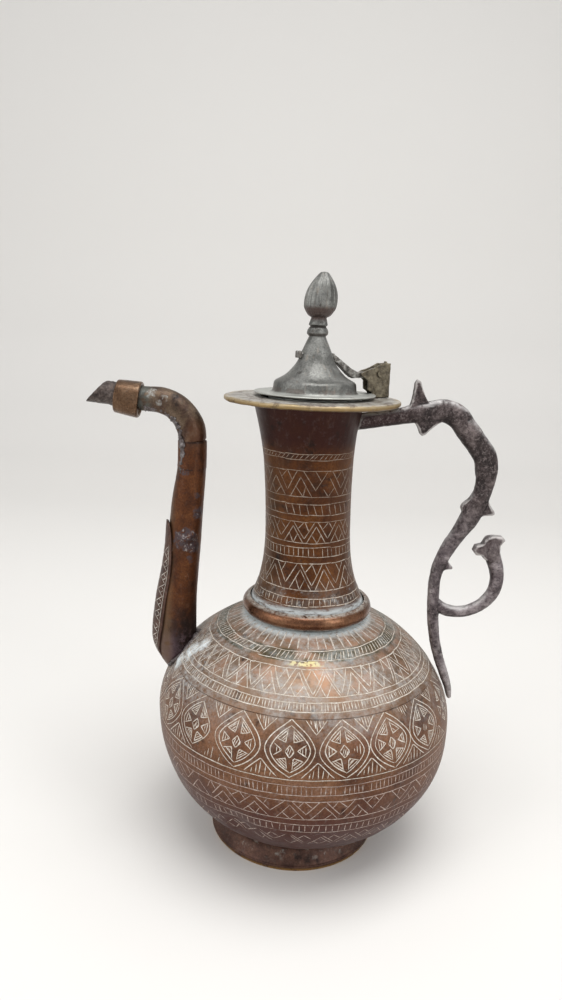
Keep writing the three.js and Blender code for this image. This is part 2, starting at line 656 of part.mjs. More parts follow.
function lidLine() {
  return new THREE.CatmullRomCurve3([
    new THREE.Vector3(LID_STEP_RADIUS - 1.4, 0, LID_STEP_HEIGHT),
    new THREE.Vector3(LID_STEP_RADIUS - 7.4, 0, LID_STEP_HEIGHT + 3.6),
    new THREE.Vector3(lidX(11.8), 0, lidZ(19.2)),
    new THREE.Vector3(lidX(8.7), 0, lidZ(26.4)),
    new THREE.Vector3(LID_CONE_TOP_RADIUS, 0, lidTop),
  ]).getPoints(9).map((p) => [p.x, p.z]);
}

function lidConeRadius(height) {
  const line = lidLine();
  const i = Math.max(1, line.findIndex(([, z]) => z >= height));
  const [[r0, z0], [r1, z1]] = [line[i - 1], line[i]];
  return r0 + ((r1 - r0) * (height - z0)) / (z1 - z0);
}

// Everything inside the cone, with a clearance, for cutting the strap that sits against it.
function lidForm(clearance) {
  const line = lidLine().map(([r, z]) => [r + clearance, z]);
  return turned([[0, line[0][1]], ...line, [0, lidTop]], AROUND_NECK).translate([LID_OFFSET, 0, RIM_TOP_Z + JOINT_GAP]);
}

function lidShell(cuts) {
  const outer = lidLine();
  const inner = outer.filter((_, i) => i % 3 !== 1).map(([r, z]) => [r - 1.15 * LID_SHEET, z - 0.9 * LID_SHEET]);
  const hole = TANG_RADIUS + JOINT_GAP;
  const shell = turned([
    [LID_RADIUS - 0.5, 0],
    [LID_RADIUS, 0.5 * LID_FLANGE],
    [LID_RADIUS - 0.4, LID_FLANGE],
    [LID_STEP_RADIUS + 2.2, LID_FLANGE + 0.6],
    [LID_STEP_RADIUS, LID_FLANGE + 1.8],
    ...outer,
    [hole, lidTop],
    [hole, lidTop - 1.4 * LID_SHEET],
    ...inner.slice(0, -1).reverse(),
    [LID_STEP_RADIUS - LID_SHEET, LID_FLANGE + 1.2],
    [LID_STEP_RADIUS, 0],
  ], AROUND_NECK);
  return cuts.reduce((body, cut) => body.subtract(cut), shell);
}

// Ring under the lid with a narrow foot against the inside of the step.
function lidBezel() {
  const outer = BEZEL_RADIUS;
  return turned([
    [outer - 1.2, -BEZEL_DEPTH],
    [outer - 0.2, -BEZEL_DEPTH],
    [outer, -BEZEL_DEPTH + 1],
    [outer, -JOINT_GAP],
    [outer - 4.4, -JOINT_GAP],
    [outer - 4.4, -JOINT_GAP - 1.2],
    [outer - 1.2, -JOINT_GAP - 1.2],
  ], AROUND_NECK);
}

function lidFinial() {
  const foot = lidTop + JOINT_GAP;
  const r = FINIAL_COLLAR_RADIUS;
  const collar = foot + FINIAL_HEIGHT - BUD_HEIGHT;
  const budLine = new THREE.SplineCurve([
    new THREE.Vector2(4.6, collar),
    new THREE.Vector2(0.74 * BUD_RADIUS, collar + 0.07 * BUD_HEIGHT),
    new THREE.Vector2(0.96 * BUD_RADIUS, collar + 0.24 * BUD_HEIGHT),
    new THREE.Vector2(0.94 * BUD_RADIUS, collar + 0.5 * BUD_HEIGHT),
    new THREE.Vector2(0.72 * BUD_RADIUS, collar + 0.73 * BUD_HEIGHT),
    new THREE.Vector2(0.3 * BUD_RADIUS, collar + 0.95 * BUD_HEIGHT),
    new THREE.Vector2(0, collar + BUD_HEIGHT),
  ]).getPoints(14).map((p) => [p.x, p.y]);
  const body = turned([
    [0, foot - TANG_LENGTH],
    [TANG_RADIUS, foot - TANG_LENGTH],
    [TANG_RADIUS, foot],
    [LID_CONE_TOP_RADIUS, foot],
    [r, foot + 1.2],
    [r - 0.1, foot + 4],
    [r - 0.9, foot + 5.2],
    [r - 0.6, foot + 6.2],
    [r - 1.5, foot + 9.6],
    ...budLine.slice(0, -1),
    [0, budLine.at(-1)[1]],
  ], 2 * BUD_RIBS);
  return body.warp((p) => {
    const height = THREE.MathUtils.clamp((p[2] - collar) / BUD_HEIGHT, 0, 1);
    const rib = BUD_RIB_DEPTH * Math.sin(Math.PI * height) * Math.cos(BUD_RIBS * Math.atan2(p[1], p[0]));
    const radius = Math.hypot(p[0], p[1]) || 1;
    p[0] *= 1 + rib / radius;
    p[1] *= 1 + rib / radius;
    p[0] += FINIAL_LEAN * Math.max(0, (p[2] - foot) / FINIAL_HEIGHT) ** 1.5;
  });
}

// Hinge parts, in the turned frame whose X axis runs out along the hinge's radius
const lidEdge = LID_OFFSET + LID_RADIUS;
const pinX = lidEdge + HINGE_SETBACK;
const pinZ = RIM_TOP_Z + HINGE_RISE;
const across = (x, z, from, to, radius, count) =>
  bar(radius, new THREE.Vector3(x, from, z), new THREE.Vector3(x, to, z), count);

function hingeStrap() {
  const tang = RIM_TOP_Z + TANG_RISE;
  const cone = lidConeRadius(TANG_RISE - JOINT_GAP);
  const root = LID_OFFSET + cone;
  const leafX = carry([11.1, 42], [root, pinX]);
  const leafZ = carry([298.6, 308.2], [pinZ, tang]);
  const leaf = slab(
    [
      [11.5, 309], [13.3, 308], [15.3, 306.4], [18, 304.6], [23.7, 300.4], [27.1, 299], [33.4, 299.6], [39, 301.6],
      [42, 301], [42, 296.2], [39, 295.4], [33.4, 296], [28.4, 295.6], [23.8, 296.2], [18.6, 300.4], [14.6, 304],
      [11.5, 305.6],
    ].map(([x, z]) => [leafX(x), leafZ(z)]),
    EYE_WIDTH / 2,
  );
  const through = box(
    [LID_OFFSET - cone - CLINCH_REACH, -STRAP_TANG_WIDTH / 2, tang - STRAP_TANG_HEIGHT / 2],
    [root + 1, STRAP_TANG_WIDTH / 2, tang + STRAP_TANG_HEIGHT / 2],
  );
  const clinch = box(
    [LID_OFFSET - cone - CLINCH_REACH, -STRAP_WIDTH / 2, tang - STRAP_TANG_HEIGHT / 2],
    [LID_OFFSET - cone - 1, STRAP_WIDTH / 2, tang + STRAP_TANG_HEIGHT / 2 + 0.8],
  );
  return leaf
    .add(across(pinX, pinZ, -EYE_WIDTH / 2, EYE_WIDTH / 2, EYE_RADIUS))
    .subtract(across(pinX, pinZ, -EYE_WIDTH, EYE_WIDTH, PIN_RADIUS + PIN_PLAY))
    .add(clinch)
    .subtract(lidForm(JOINT_GAP))
    .add(through);
}

// Slots in the cone for the tang of the strap, in the frame of the lid.
function strapSlots() {
  const middle = TANG_RISE - JOINT_GAP;
  const half = [STRAP_TANG_WIDTH / 2 + JOINT_GAP, STRAP_TANG_HEIGHT / 2 + JOINT_GAP];
  return [box([-LID_RADIUS, -half[0], middle - half[1]], [LID_RADIUS, half[0], middle + half[1]])];
}

function hingeBracket() {
  const inner = EYE_WIDTH / 2 + JOINT_GAP;
  const outer = inner + EAR_THICKNESS;
  const foot = RIM_TOP_Z + JOINT_GAP;
  const back = pinX + STOP_REACH;
  const tip = pinX - EAR_NOSE;
  const ear = slab(
    [
      [lidEdge + BRACKET_PLAY, foot],
      [back + EAR_THICKNESS, foot],
      [back + EAR_THICKNESS, pinZ + EAR_RISE],
      [pinX + 0.6, pinZ + EAR_RISE - 0.4],
      [pinX - 4.3, pinZ + 3.4],
      [tip + 3, pinZ + 1.4],
      [tip, pinZ - 0.2],
      [tip + 0.6, pinZ - 1.6],
      [tip + 3, pinZ - 2.8],
      [tip + 4.8, pinZ - 4.6],
      [tip + 5.2, pinZ - 9.6],
      [lidEdge - 1.2, pinZ - 11.2],
    ],
    outer,
  );
  const stop = box([back, -outer, foot], [back + EAR_THICKNESS, outer, RIM_TOP_Z + STOP_RISE - 4]).add(
    slab(
      [
        [back, foot + 6],
        [back + EAR_THICKNESS, foot + 6],
        [back + EAR_THICKNESS, RIM_TOP_Z + STOP_RISE],
        [back + 0.4, RIM_TOP_Z + STOP_RISE],
      ],
      1.6,
      outer - 1.6,
    ),
  );
  const room = box([0, -inner, foot + EAR_THICKNESS], [back, inner, RIM_TOP_Z + 40]);
  return ear
    .subtract(room)
    .add(stop)
    .subtract(across(pinX, pinZ, -20, 20, PIN_RADIUS + PIN_PLAY));
}

function hingePin() {
  const outer = EYE_WIDTH / 2 + JOINT_GAP + EAR_THICKNESS;
  const head = (side) => {
    const near = side * (outer + JOINT_GAP);
    const far = side * (outer + JOINT_GAP + PIN_HEAD_THICKNESS);
    return across(pinX, pinZ, Math.min(near, far), Math.max(near, far), PIN_HEAD_RADIUS);
  };
  const reach = outer + JOINT_GAP + PIN_HEAD_THICKNESS / 2;
  return across(pinX, pinZ, -reach, reach, PIN_RADIUS).add(head(-1)).add(head(1));
}

const neckCopper = copper('#6b3c1c', 0.42);
const bellyCopper = copper('#8a5a3c', 0.44);
const darkCopper = copper('#5a4438', 0.5);
const tinned = copper('#8b9490', 0.46);
const castMetal = copper('#6a5a5c', 0.6);
const oldBrass = copper('#75694a', 0.55);

const ewer = new THREE.Group();
ewer.add(
  part('foot_ring', footRing(), darkCopper),
  part('belly_lower', bellyLower(spoutHole()), bellyCopper),
  part('belly_upper', bellyUpper(spoutHole()), bellyCopper),
  part('collar_ring', collarRing(), bellyCopper),
  part('neck', neck(), neckCopper),
  part('rim_plate', rimPlate(), oldBrass),
  part('spout_stem', spoutStem(), neckCopper),
  part('spout_sheath', spoutSheath(), darkCopper),
  part('spout_elbow', spoutElbow(), neckCopper),
  part('spout_collar', spoutCollar(), bellyCopper),
  part('spout_nozzle', spoutNozzle(), darkCopper),
  part('handle', handle(), castMetal),
);

const hinge = new THREE.Group();
hinge.rotation.z = THREE.MathUtils.degToRad(HINGE_TURN);
const lid = new THREE.Group();
lid.position.set(LID_OFFSET, 0, RIM_TOP_Z + JOINT_GAP);
lid.add(
  part('lid_shell', lidShell(strapSlots()), tinned),
  part('lid_bezel', lidBezel(), tinned),
  part('lid_finial', lidFinial(), tinned),
);
hinge.add(
  lid,
  part('hinge_strap', hingeStrap(), tinned),
  part('hinge_bracket', hingeBracket(), oldBrass),
  part('hinge_pin', hingePin(), oldBrass),
);
ewer.add(hinge);

// Origin: middle of the whole outline, on the table.
const model = new THREE.Group();
model.add(ewer);
const bounds = new THREE.Box3().setFromObject(ewer, true);
ewer.position.x = -(bounds.min.x + bounds.max.x) / 2;
ewer.position.y = -(bounds.min.y + bounds.max.y) / 2;

export default model;
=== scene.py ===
"""Looks of the copper ewer: fine surfaces over the CAD frame, engraved bands, patina, lime and solder.

Sizes are in millimetres. Points are measured from the axis of foot and rim, which stands at AXIS_X in the
shared frame. Angles run in degrees from the front (-Y) towards the handle (+X).
"""

import math
from functools import partial, reduce

import bpy
import numpy as np
from mathutils import Euler, Matrix, Vector


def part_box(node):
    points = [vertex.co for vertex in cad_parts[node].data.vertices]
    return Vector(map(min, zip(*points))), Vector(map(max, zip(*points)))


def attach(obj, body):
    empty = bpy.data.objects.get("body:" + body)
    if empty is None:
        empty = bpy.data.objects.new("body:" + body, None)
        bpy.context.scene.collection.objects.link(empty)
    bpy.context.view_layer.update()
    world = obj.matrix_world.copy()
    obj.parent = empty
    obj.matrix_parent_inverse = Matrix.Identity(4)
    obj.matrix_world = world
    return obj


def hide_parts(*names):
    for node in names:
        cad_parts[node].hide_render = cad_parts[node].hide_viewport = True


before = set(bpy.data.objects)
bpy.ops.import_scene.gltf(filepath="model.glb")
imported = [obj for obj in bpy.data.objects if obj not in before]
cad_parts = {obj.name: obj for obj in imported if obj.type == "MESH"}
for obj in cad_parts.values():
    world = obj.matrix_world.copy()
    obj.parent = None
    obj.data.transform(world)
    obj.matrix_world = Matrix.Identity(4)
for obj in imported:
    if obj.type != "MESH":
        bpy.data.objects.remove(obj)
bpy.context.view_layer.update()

MM = 0.001
foot_low, foot_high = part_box("foot_ring")
AXIS_X = (foot_low.x + foot_high.x) / 2 / MM
SHARP_ANGLE = math.radians(40)
RIDGE_PASSES = 26

# Belly
BELLY_RADIUS = 93
BELLY_MID_Z = 88
SHOULDER_REACH = 67
SHOULDER_FULLNESS = 1.792
BOWL_REACH = 84.1
BOWL_FULLNESS = 2.368
BELLY_BOTTOM_Z = 8.5
SEAM_Z = 118
SEAM_STEP = 0.4
BELLY_OFFSET = 3
BOWL_DRIFT = 2
BOWL_DRIFT_Z = 50
WALL = 1.3
SHOULDER_HOLE_RADIUS = 35.3
DENTS = [(-27, 46, 11, 2.4), (8, 128, 8, 0.6), (38, 60, 10, 0.8)]  # angle, height, size, depth

# Neck and its hoop
STUB_TOP_Z = 156.4
NECK_LEAN = 4.8
NECK_FOOT_Z = 150.1
NECK_TOP_Z = 282.1
NECK_LINE = [
    (35.6, 156.6), (32.9, 164.1), (29.4, 174.1), (26.9, 189.1),
    (26.2, 213.1), (27.1, 244.1), (29.6, 265.1), (33.2, 282.1),
]
HOOP_INNER_RADIUS = 35.9
HOOP_HEIGHT = 9.4
HOOP_THICKNESS = 4.5

# Rim plate
RIM_RADIUS = 52.7
RIM_TOP_Z = 284
RIM_PLATE = 1.6
RIM_EDGE = 3.3
MOUTH_RADIUS = 30.3
RIM_FLAT_RADIUS = 40

# Foot
FOOT_RADIUS = 53.6
FOOT_HEM_HEIGHT = 3.2
FOOT_WAIST_RADIUS = 49

# Lid, measured from its underside, and its hinge
HINGE_TURN = math.radians(18)
LID_OFFSET = 1.5
LID_Z = 284.3
LID_RADIUS = 36.4
LID_LINE = [(23.6, 9.0), (17.6, 12.6), (11.8, 19.2), (8.7, 26.4), (4.9, 34.9)]
FINIAL_FOOT_Z = 319.5
FINIAL_HEIGHT = 36.4
FINIAL_LEAN = 2.6
BUD_RADIUS = 9.8
BUD_HEIGHT = 25.9
BUD_RIBS = 12
BUD_LINE = [(0.62, 0.03), (0.76, 0.09), (0.95, 0.24), (0.93, 0.5), (0.71, 0.73), (0.3, 0.95), (0.14, 0.985)]

# Spout: stations are (x, z, half width in the plane, half width across)
STEM = [
    (-70, 98, 7, 7), (-73.5, 108, 9, 9), (-78.4, 121, 12.6, 11.6), (-80, 133, 13.4, 12.2),
    (-79, 155, 12.2, 11.4), (-76.6, 176, 10.9, 10.4), (-74.7, 197, 10.3, 9.9), (-73.1, 218, 9.8, 9.4),
    (-71.1, 238, 8.8, 8.8), (-70.9, 255, 8.6, 8.6),
]
ELBOW = [
    (-70.9, 246, 7.1, 7.1), (-70.9, 254.8, 7.1, 7.1), (-70.9, 255.2, 8.5, 8.5), (-71.9, 262.5, 8.6, 8.6),
    (-75.8, 269.6, 8.3, 8.3), (-81.6, 275.1, 8.1, 8.1), (-89.2, 278.2, 7.9, 7.9), (-97, 278.8, 7.5, 7.5),
    (-101.9, 279.1, 7.2, 7.2), (-109.2, 279.95, 7.2, 7.2),
]
SPOUT_WALL = 1.2
SHEATH_TOP_Z = 205
ROOT_SPOTS = [  # x, y, z, radius
    (-64, -20, 124, 7.4), (-56, -22, 130, 6), (-71, -18, 117, 6), (-76, -9, 121, 5), (-48, -24, 134, 4),
]
SHEATH_FOOT_Z = 108.5
SLEEVE_X = -101.9
SLEEVE_Z = 279.1
SLEEVE_LENGTH = 15
SLEEVE_SAG = 1.1
TIP_TILT = math.radians(6.5)
STEM_LAP = (238.4, 254.6)
ELBOW_SEAM_TURN = 222
SPOUT_LUMPS = [  # x, y, z, size, height
    (-73, -10, 195, 3.6, 1.1), (-69, -10, 198, 2.4, 1.0), (-76, -9, 191, 2.6, 0.9), (-82, -6, 188, 2.2, 0.8),
    (-65, -8, 188, 2.6, 0.9), (-66, -6, 212, 2.8, 0.7), (-72, -11, 171, 1.7, 0.6), (-64, -8, 168, 2, 0.5),
    (-77, -8, 240, 2.4, 0.6), (-64, -7, 153, 3, 0.5),
]

# Handle: stations are (x, z, width in the plane, share of the full depth across)
HANDLE_DEPTH = 8.6
HANDLE_ROOT_Z = 250
HANDLE_BITE = 0.3
BAR_FULLNESS = 2.5
HANDLE = [
    (26, 270, 10.4, 0.8), (42, 272.6, 10, 0.82), (54, 274.6, 9.8, 0.86), (62, 276.6, 11.4, 0.94),
    (71, 278, 13.4, 1), (80, 278.6, 13.8, 1), (88.6, 274.6, 14, 1), (95.4, 265.6, 13, 1),
    (101.4, 258.9, 13.4, 1), (106, 252.4, 14.4, 1), (107.9, 245, 14.2, 1), (108, 237, 12.2, 0.96),
    (106.8, 229.5, 10.8, 0.94), (103.4, 221, 12.4, 0.98), (100, 212.8, 12, 0.94), (95.4, 204.6, 10, 0.88),
    (90, 195.4, 9, 0.84), (85.4, 185.2, 8.4, 0.8), (82.8, 174.6, 7.5, 0.78), (82.6, 162, 7.4, 0.76),
    (83.6, 148, 7.2, 0.76), (85.5, 135, 6.7, 0.72), (89.2, 121.5, 6.4, 0.74), (93.2, 111, 5.8, 0.84),
    (96.8, 101, 4.6, 0.96), (98.2, 94, 3, 1),
]
SCROLL = [
    (84.6, 157.5, 7, 0.7), (90, 153.6, 7.6, 0.72), (97, 152.2, 7.2, 0.74), (105, 153.2, 6.9, 0.76),
    (113.4, 157.8, 7.2, 0.78), (119.6, 165.4, 7.8, 0.8), (121.6, 174.4, 8.4, 0.82), (120.2, 182.6, 9, 0.86),
    (117.4, 190, 9.6, 0.9), (115.6, 197, 8.6, 0.86), (115.2, 200.6, 5, 0.6),
]
THORNS = [
    ((56.6, 276), (61.9, 296.8), (72.4, 281), 0.8, 1.8),
    ((80, 273), (67, 263.4), (60, 274), 0.8, 1.6),
    ((109.6, 228), (115.4, 217), (103, 213.4), 0.7, 1.3),
    ((97, 212), (94.4, 221), (103, 230.6), 0.7, 1.7),
    ((87, 190.6), (93.2, 181), (84.6, 178), 0.6, 0.9),
]
HEAD = [
    (112.4, 187.4), (109.8, 190.6), (106.6, 190.4), (104.4, 193), (105.8, 196.6), (110, 197.6),
    (112.2, 201.8), (116, 202.8), (122, 202.8), (123.6, 200.6), (121, 197), (121.6, 188),
]
HANDLE_LOBES = [  # x, z, size, height
    (104.6, 268.6, 4.5, 0.9), (98.5, 274.6, 2.6, -0.9), (113.4, 233, 3, -0.7), (72, 285, 4, -0.5),
    (99, 243, 4, 0.6), (104, 247, 4.5, -0.7), (107, 238, 4, -0.6), (87.6, 199, 2.4, 0.5),
    (97.5, 221, 4.5, -0.5), (124.6, 186.6, 2.6, -0.7), (114, 176, 3, 0.5), (81, 176, 2.4, -0.4),
]

# Engraving: the lozenge in shares of an oval and of its height, the sheath's cell in degrees and millimetres
RIBBON_STEP = 1.3
RIBBON_OUT = 0.05
RING_CUTS = 12
OVAL_FULLNESS = 1.75
LOZENGE = [
    [(-0.09, 0.48), (0, 0.59), (0.09, 0.48), (0, 0.37), (-0.09, 0.48)],
    [(-0.05, 0.43), (-0.01, 0.54)], [(-0.015, 0.41), (0.03, 0.53)], [(0.025, 0.41), (0.06, 0.49)],
]
CELL_REACH = 62
SHEATH_CELL = [
    [(51, 0), (26, 4)], [(26, 4), (51, 8)], [(3, 0), (24, 4)], [(24, 4), (3, 8)],
    [(51, 4), (39, 2)], [(51, 4), (39, 6)], [(3, 4), (12, 2)], [(3, 4), (12, 6)],
]

# Stage in metres, camera in millimetres and degrees
LAMP_AIM = (0, 0, 0.15)
CAMERA_LENS = 27.036
CAMERA_SENSOR = 36
CAMERA_PLACE = (AXIS_X - 15.937, -450, 324)
CAMERA_DOWN = 13.0
CAMERA_ROLL = 2.3447


# Helpers for form

def noise(*coords, seed=0, octaves=3):
    """Smooth noise from sines, about -1 to 1, for arrays of coordinates of equal shape."""
    rng = np.random.default_rng(seed)
    total = 0
    for octave in range(octaves):
        for _ in range(4):
            way = rng.normal(size=len(coords)) * 2**octave
            wave = sum(w * c for w, c in zip(way, coords)) + rng.uniform(0, 6.28)
            total = total + np.sin(wave) / (3.2 * 1.8**octave)
    return total


def round_noise(angle, z, size, **more):
    """Noise on a turned form, in patches of about this size in millimetres on a radius of 60."""
    a = np.radians(angle)
    return noise(60 * np.cos(a) / size, 60 * np.sin(a) / size, z / size, **more)


def soft_step(value):
    value = np.clip(value, 0, 1)
    return value * value * (3 - 2 * value)


def catmull(points, steps):
    """Catmull-Rom curve through rows of numbers, with this many steps for each span."""
    p = np.asarray(points, float)
    p = np.vstack([2 * p[0] - p[1], p, 2 * p[-1] - p[-2]])
    t = np.linspace(0, 1, steps, endpoint=False)[:, None]
    spans = []
    for a, b, c, d in zip(p, p[1:], p[2:], p[3:]):
        square, cube = 2 * a - 5 * b + 4 * c - d, 3 * b - a - 3 * c + d
        spans.append(0.5 * (2 * b + (c - a) * t + square * t**2 + cube * t**3))
    return np.vstack(spans + [p[-2][None]])


def grid_faces(rows, cols, closed_rows=False, closed_cols=True, start=0):
    """Quads of a grid of points stored row by row."""
    i, j = np.mgrid[:rows - (not closed_rows), :cols - (not closed_cols)]
    i2, j2 = (i + 1) % rows, (j + 1) % cols
    corners = [i * cols + j, i * cols + j2, i2 * cols + j2, i2 * cols + j]
    return (np.stack(corners, -1) + start).reshape(-1, 4).tolist()


def linked(obj):
    bpy.context.scene.collection.objects.link(obj)
    return obj


def placed(name, mesh, material, body, replaces, slot):
    """Object of a mesh that rides on a body, in place of CAD pieces."""
    mesh.materials.clear()
    mesh.materials.append(material)
    obj = linked(bpy.data.objects.new(name, mesh))
    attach(obj, body)
    if replaces:
        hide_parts(*replaces)
    return obj


def piece(name, points, faces, material, slot, body="ewer", replaces=()):
    """Mesh object from points in millimetres about the vessel's axis."""
    points = (np.asarray(points, float).reshape(-1, 3) + [AXIS_X, 0, 0]) * MM
    mesh = bpy.data.meshes.new(name)
    mesh.from_pydata(points.tolist(), [], faces)
    mesh.update()
    mesh.shade_smooth()
    mesh.set_sharp_from_angle(angle=SHARP_ANGLE)
    return placed(name, mesh, material, body, replaces, slot)


class Form:
    """Surface over (angle, height) with the line radius(z), about centre(z) on X, plus a bump(angle, z)."""

    def __init__(self, radius, centre=lambda z: 0 * z, bump=lambda angle, z: 0 * z):
        self.radius, self.centre, self.bump = radius, centre, bump

    def at(self, angle, z, out=0.0):
        angle, z = np.broadcast_arrays(np.asarray(angle, float), np.asarray(z, float))
        slope = (self.radius(z + 0.05) - self.radius(z - 0.05)) / 0.1
        length = np.hypot(1, slope)
        amount = out + self.bump(angle, z)
        r = self.radius(z) + amount / length
        a = np.radians(angle)
        return np.stack([self.centre(z) + r * np.sin(a), -r * np.cos(a), z - amount * slope / length], -1)


def shell(name, form, heights, material, around, **more):
    """Sheet of even thickness on a form, with rounded edges, from the first to the last of the heights."""
    angles = np.linspace(0, 360, around, endpoint=False)
    heights = np.asarray(heights, float)
    rows = [form.at(angles, z) for z in heights]
    edge = [(-0.15 * WALL, 0.1), (-0.5 * WALL, 0.25), (-0.85 * WALL, 0.1)]
    rows += [form.at(angles, heights[-1] + rise, out) for out, rise in edge]
    rows += [form.at(angles, z, -WALL) for z in heights[::-1]]
    rows += [form.at(angles, heights[0] - rise, out) for out, rise in edge[::-1]]
    return piece(name, np.stack(rows), grid_faces(len(rows), around, closed_rows=True), material, **more)


def turned(name, profile, material, around=160, bump=None, centre=(0, 0), closed=True, shape=None, **more):
    """Revolved profile of (radius, height) points.

    An optional bump(angle, radius, height) moves it along its normal, and a shape(points) changes it.
    """
    profile = np.asarray(profile, float)
    angles = np.linspace(0, 360, around, endpoint=False)
    a = np.radians(angles)
    step = np.roll(profile, -1, 0) - np.roll(profile, 1, 0) if closed else np.gradient(profile, axis=0)
    normal = np.stack([step[:, 1], -step[:, 0]], -1)
    normal /= np.maximum(np.hypot(*normal.T), 1e-6)[:, None]
    rows = []
    for (r, z), (nr, nz) in zip(profile, normal):
        amount = bump(angles, r, z) if bump else 0 * angles
        radius = r + amount * nr
        x, y = centre[0] + radius * np.sin(a), centre[1] - radius * np.cos(a)
        rows.append(np.stack([x, y, z + amount * nz], -1))
    rows = np.stack(rows)
    rows = shape(rows) if shape else rows
    return piece(name, rows, grid_faces(len(rows), around, closed_rows=closed), material, **more)


def sweep(stations, steps, section, inward=0.0, bump=None):
    """Rows of points of a section swept along stations (x, z, half width in the plane, half width across).

    section(angle) gives both ways in half widths, and an optional bump(share of the way, angle) adds to them.
    """
    path = catmull(stations, steps)
    way = np.gradient(path[:, :2], axis=0)
    way /= np.hypot(*way.T)[:, None]
    angle = np.linspace(0, 2 * math.pi, 48, endpoint=False)
    u, v = section(angle)
    rows = []
    for i, ((x, z, a, b), (dx, dz)) in enumerate(zip(path, way)):
        extra = bump(i / (len(path) - 1), angle) if bump else 0
        across, side = (a - inward + extra) * u, (b - inward + extra) * v
        rows.append(np.stack([x + dz * across, side, z - dx * across], -1))
    return np.stack(rows)


def oval(angle):
    return np.cos(angle), np.sin(angle)


def rounded(angle):
    """Bar with flat faces and round edges."""
    c, s = np.cos(angle), np.sin(angle)
    scale = (np.abs(c) ** BAR_FULLNESS + np.abs(s) ** BAR_FULLNESS) ** (-1 / BAR_FULLNESS)
    return c * scale, s * scale


def tube(name, stations, steps, material, bump, **more):
    """Open pipe with a wall along stations of half widths."""
    outer = sweep(stations, steps, oval, bump=bump)
    inner = sweep(stations, steps, oval, inward=SPOUT_WALL, bump=bump)[::-1]
    rows = np.concatenate([outer, inner])
    return piece(name, rows, grid_faces(len(rows), rows.shape[1], closed_rows=True), material, **more)


def capped(rows, start=0):
    """Points and faces of rows of points closed at both ends."""
    count = rows.shape[1]
    last = start + (len(rows) - 1) * count
    faces = grid_faces(len(rows), count, start=start)
    faces.append(list(range(start, start + count))[::-1])
    faces.append(list(range(last, last + count)))
    return rows.reshape(-1, 3), faces


def plate(outline, half):
    """Both rows of a flat outline of (x, z) points, made 2 * half thick across Y."""
    flat = np.asarray(outline, float)
    return np.stack([np.insert(flat, 1, y, axis=1) for y in (-half, half)])


def strand(line, out, side, swell, high, wide):
    """Rows of points round a line. The swell has a row for each point and a column for each angle."""
    angle = np.linspace(0, 2 * math.pi, swell.shape[1], endpoint=False)
    rows = line[:, None] + (swell * np.cos(angle) * high)[..., None] * out[:, None]
    return rows + (swell * np.sin(angle) * wide)[..., None] * side[:, None]


def unit(rows):
    return rows / np.linalg.norm(rows, axis=1)[:, None]


def places_and_normals(mesh):
    data = [np.empty(3 * len(mesh.vertices)) for _ in range(2)]
    mesh.vertices.foreach_get("co", data[0])
    mesh.vertices.foreach_get("normal", data[1])
    return [values.reshape(-1, 3) for values in data]


# These heights drive the handle's painted highlight on ridges and painted shade in hollows.
def ridge_heights(mesh):
    """How far in millimetres each point stands out of the skin smoothed round it; hollows are negative."""
    co, normal = places_and_normals(mesh)
    count, edges = len(co), np.empty(len(mesh.edges) * 2, int)
    mesh.edges.foreach_get("vertices", edges)
    a, b = edges.reshape(-1, 2).T
    near = np.maximum(1, np.bincount(a, minlength=count) + np.bincount(b, minlength=count))
    smooth = co
    for _ in range(RIDGE_PASSES):
        total = [np.bincount(a, smooth[b, k], count) + np.bincount(b, smooth[a, k], count) for k in range(3)]
        smooth = 0.5 * smooth + 0.5 * np.stack(total, -1) / near[:, None]
    return ((co - smooth) * normal).sum(1) / MM


def remeshed(obj, voxel, smooth, bump):
    """Joins what overlaps in an object into one skin, rounds it and moves it by a bump(points)."""
    remesh = obj.modifiers.new("skin", "REMESH")
    remesh.mode = "VOXEL"
    remesh.voxel_size = voxel * MM
    obj.modifiers.new("soft", "SMOOTH").iterations = smooth
    made = bpy.data.meshes.new_from_object(obj.evaluated_get(bpy.context.evaluated_depsgraph_get()))
    obj.modifiers.clear()
    old, obj.data = obj.data, made
    made.name = old.name
    if not made.materials:
        made.materials.append(old.materials[0])
    co, normal = places_and_normals(made)
    co += normal * bump(co / MM)[:, None] * MM
    made.vertices.foreach_set("co", co.ravel())
    made.update()
    made.attributes.new("ridge", "FLOAT", "POINT").data.foreach_set("value", ridge_heights(made))
    made.shade_smooth()


# Helpers for materials

def srgb(text):
    """Linear colour from a hex triplet."""
    value = [int(text[i:i + 2], 16) / 255 for i in (1, 3, 5)]
    return [v / 12.92 if v <= 0.04045 else ((v + 0.055) / 1.055) ** 2.4 for v in value] + [1]


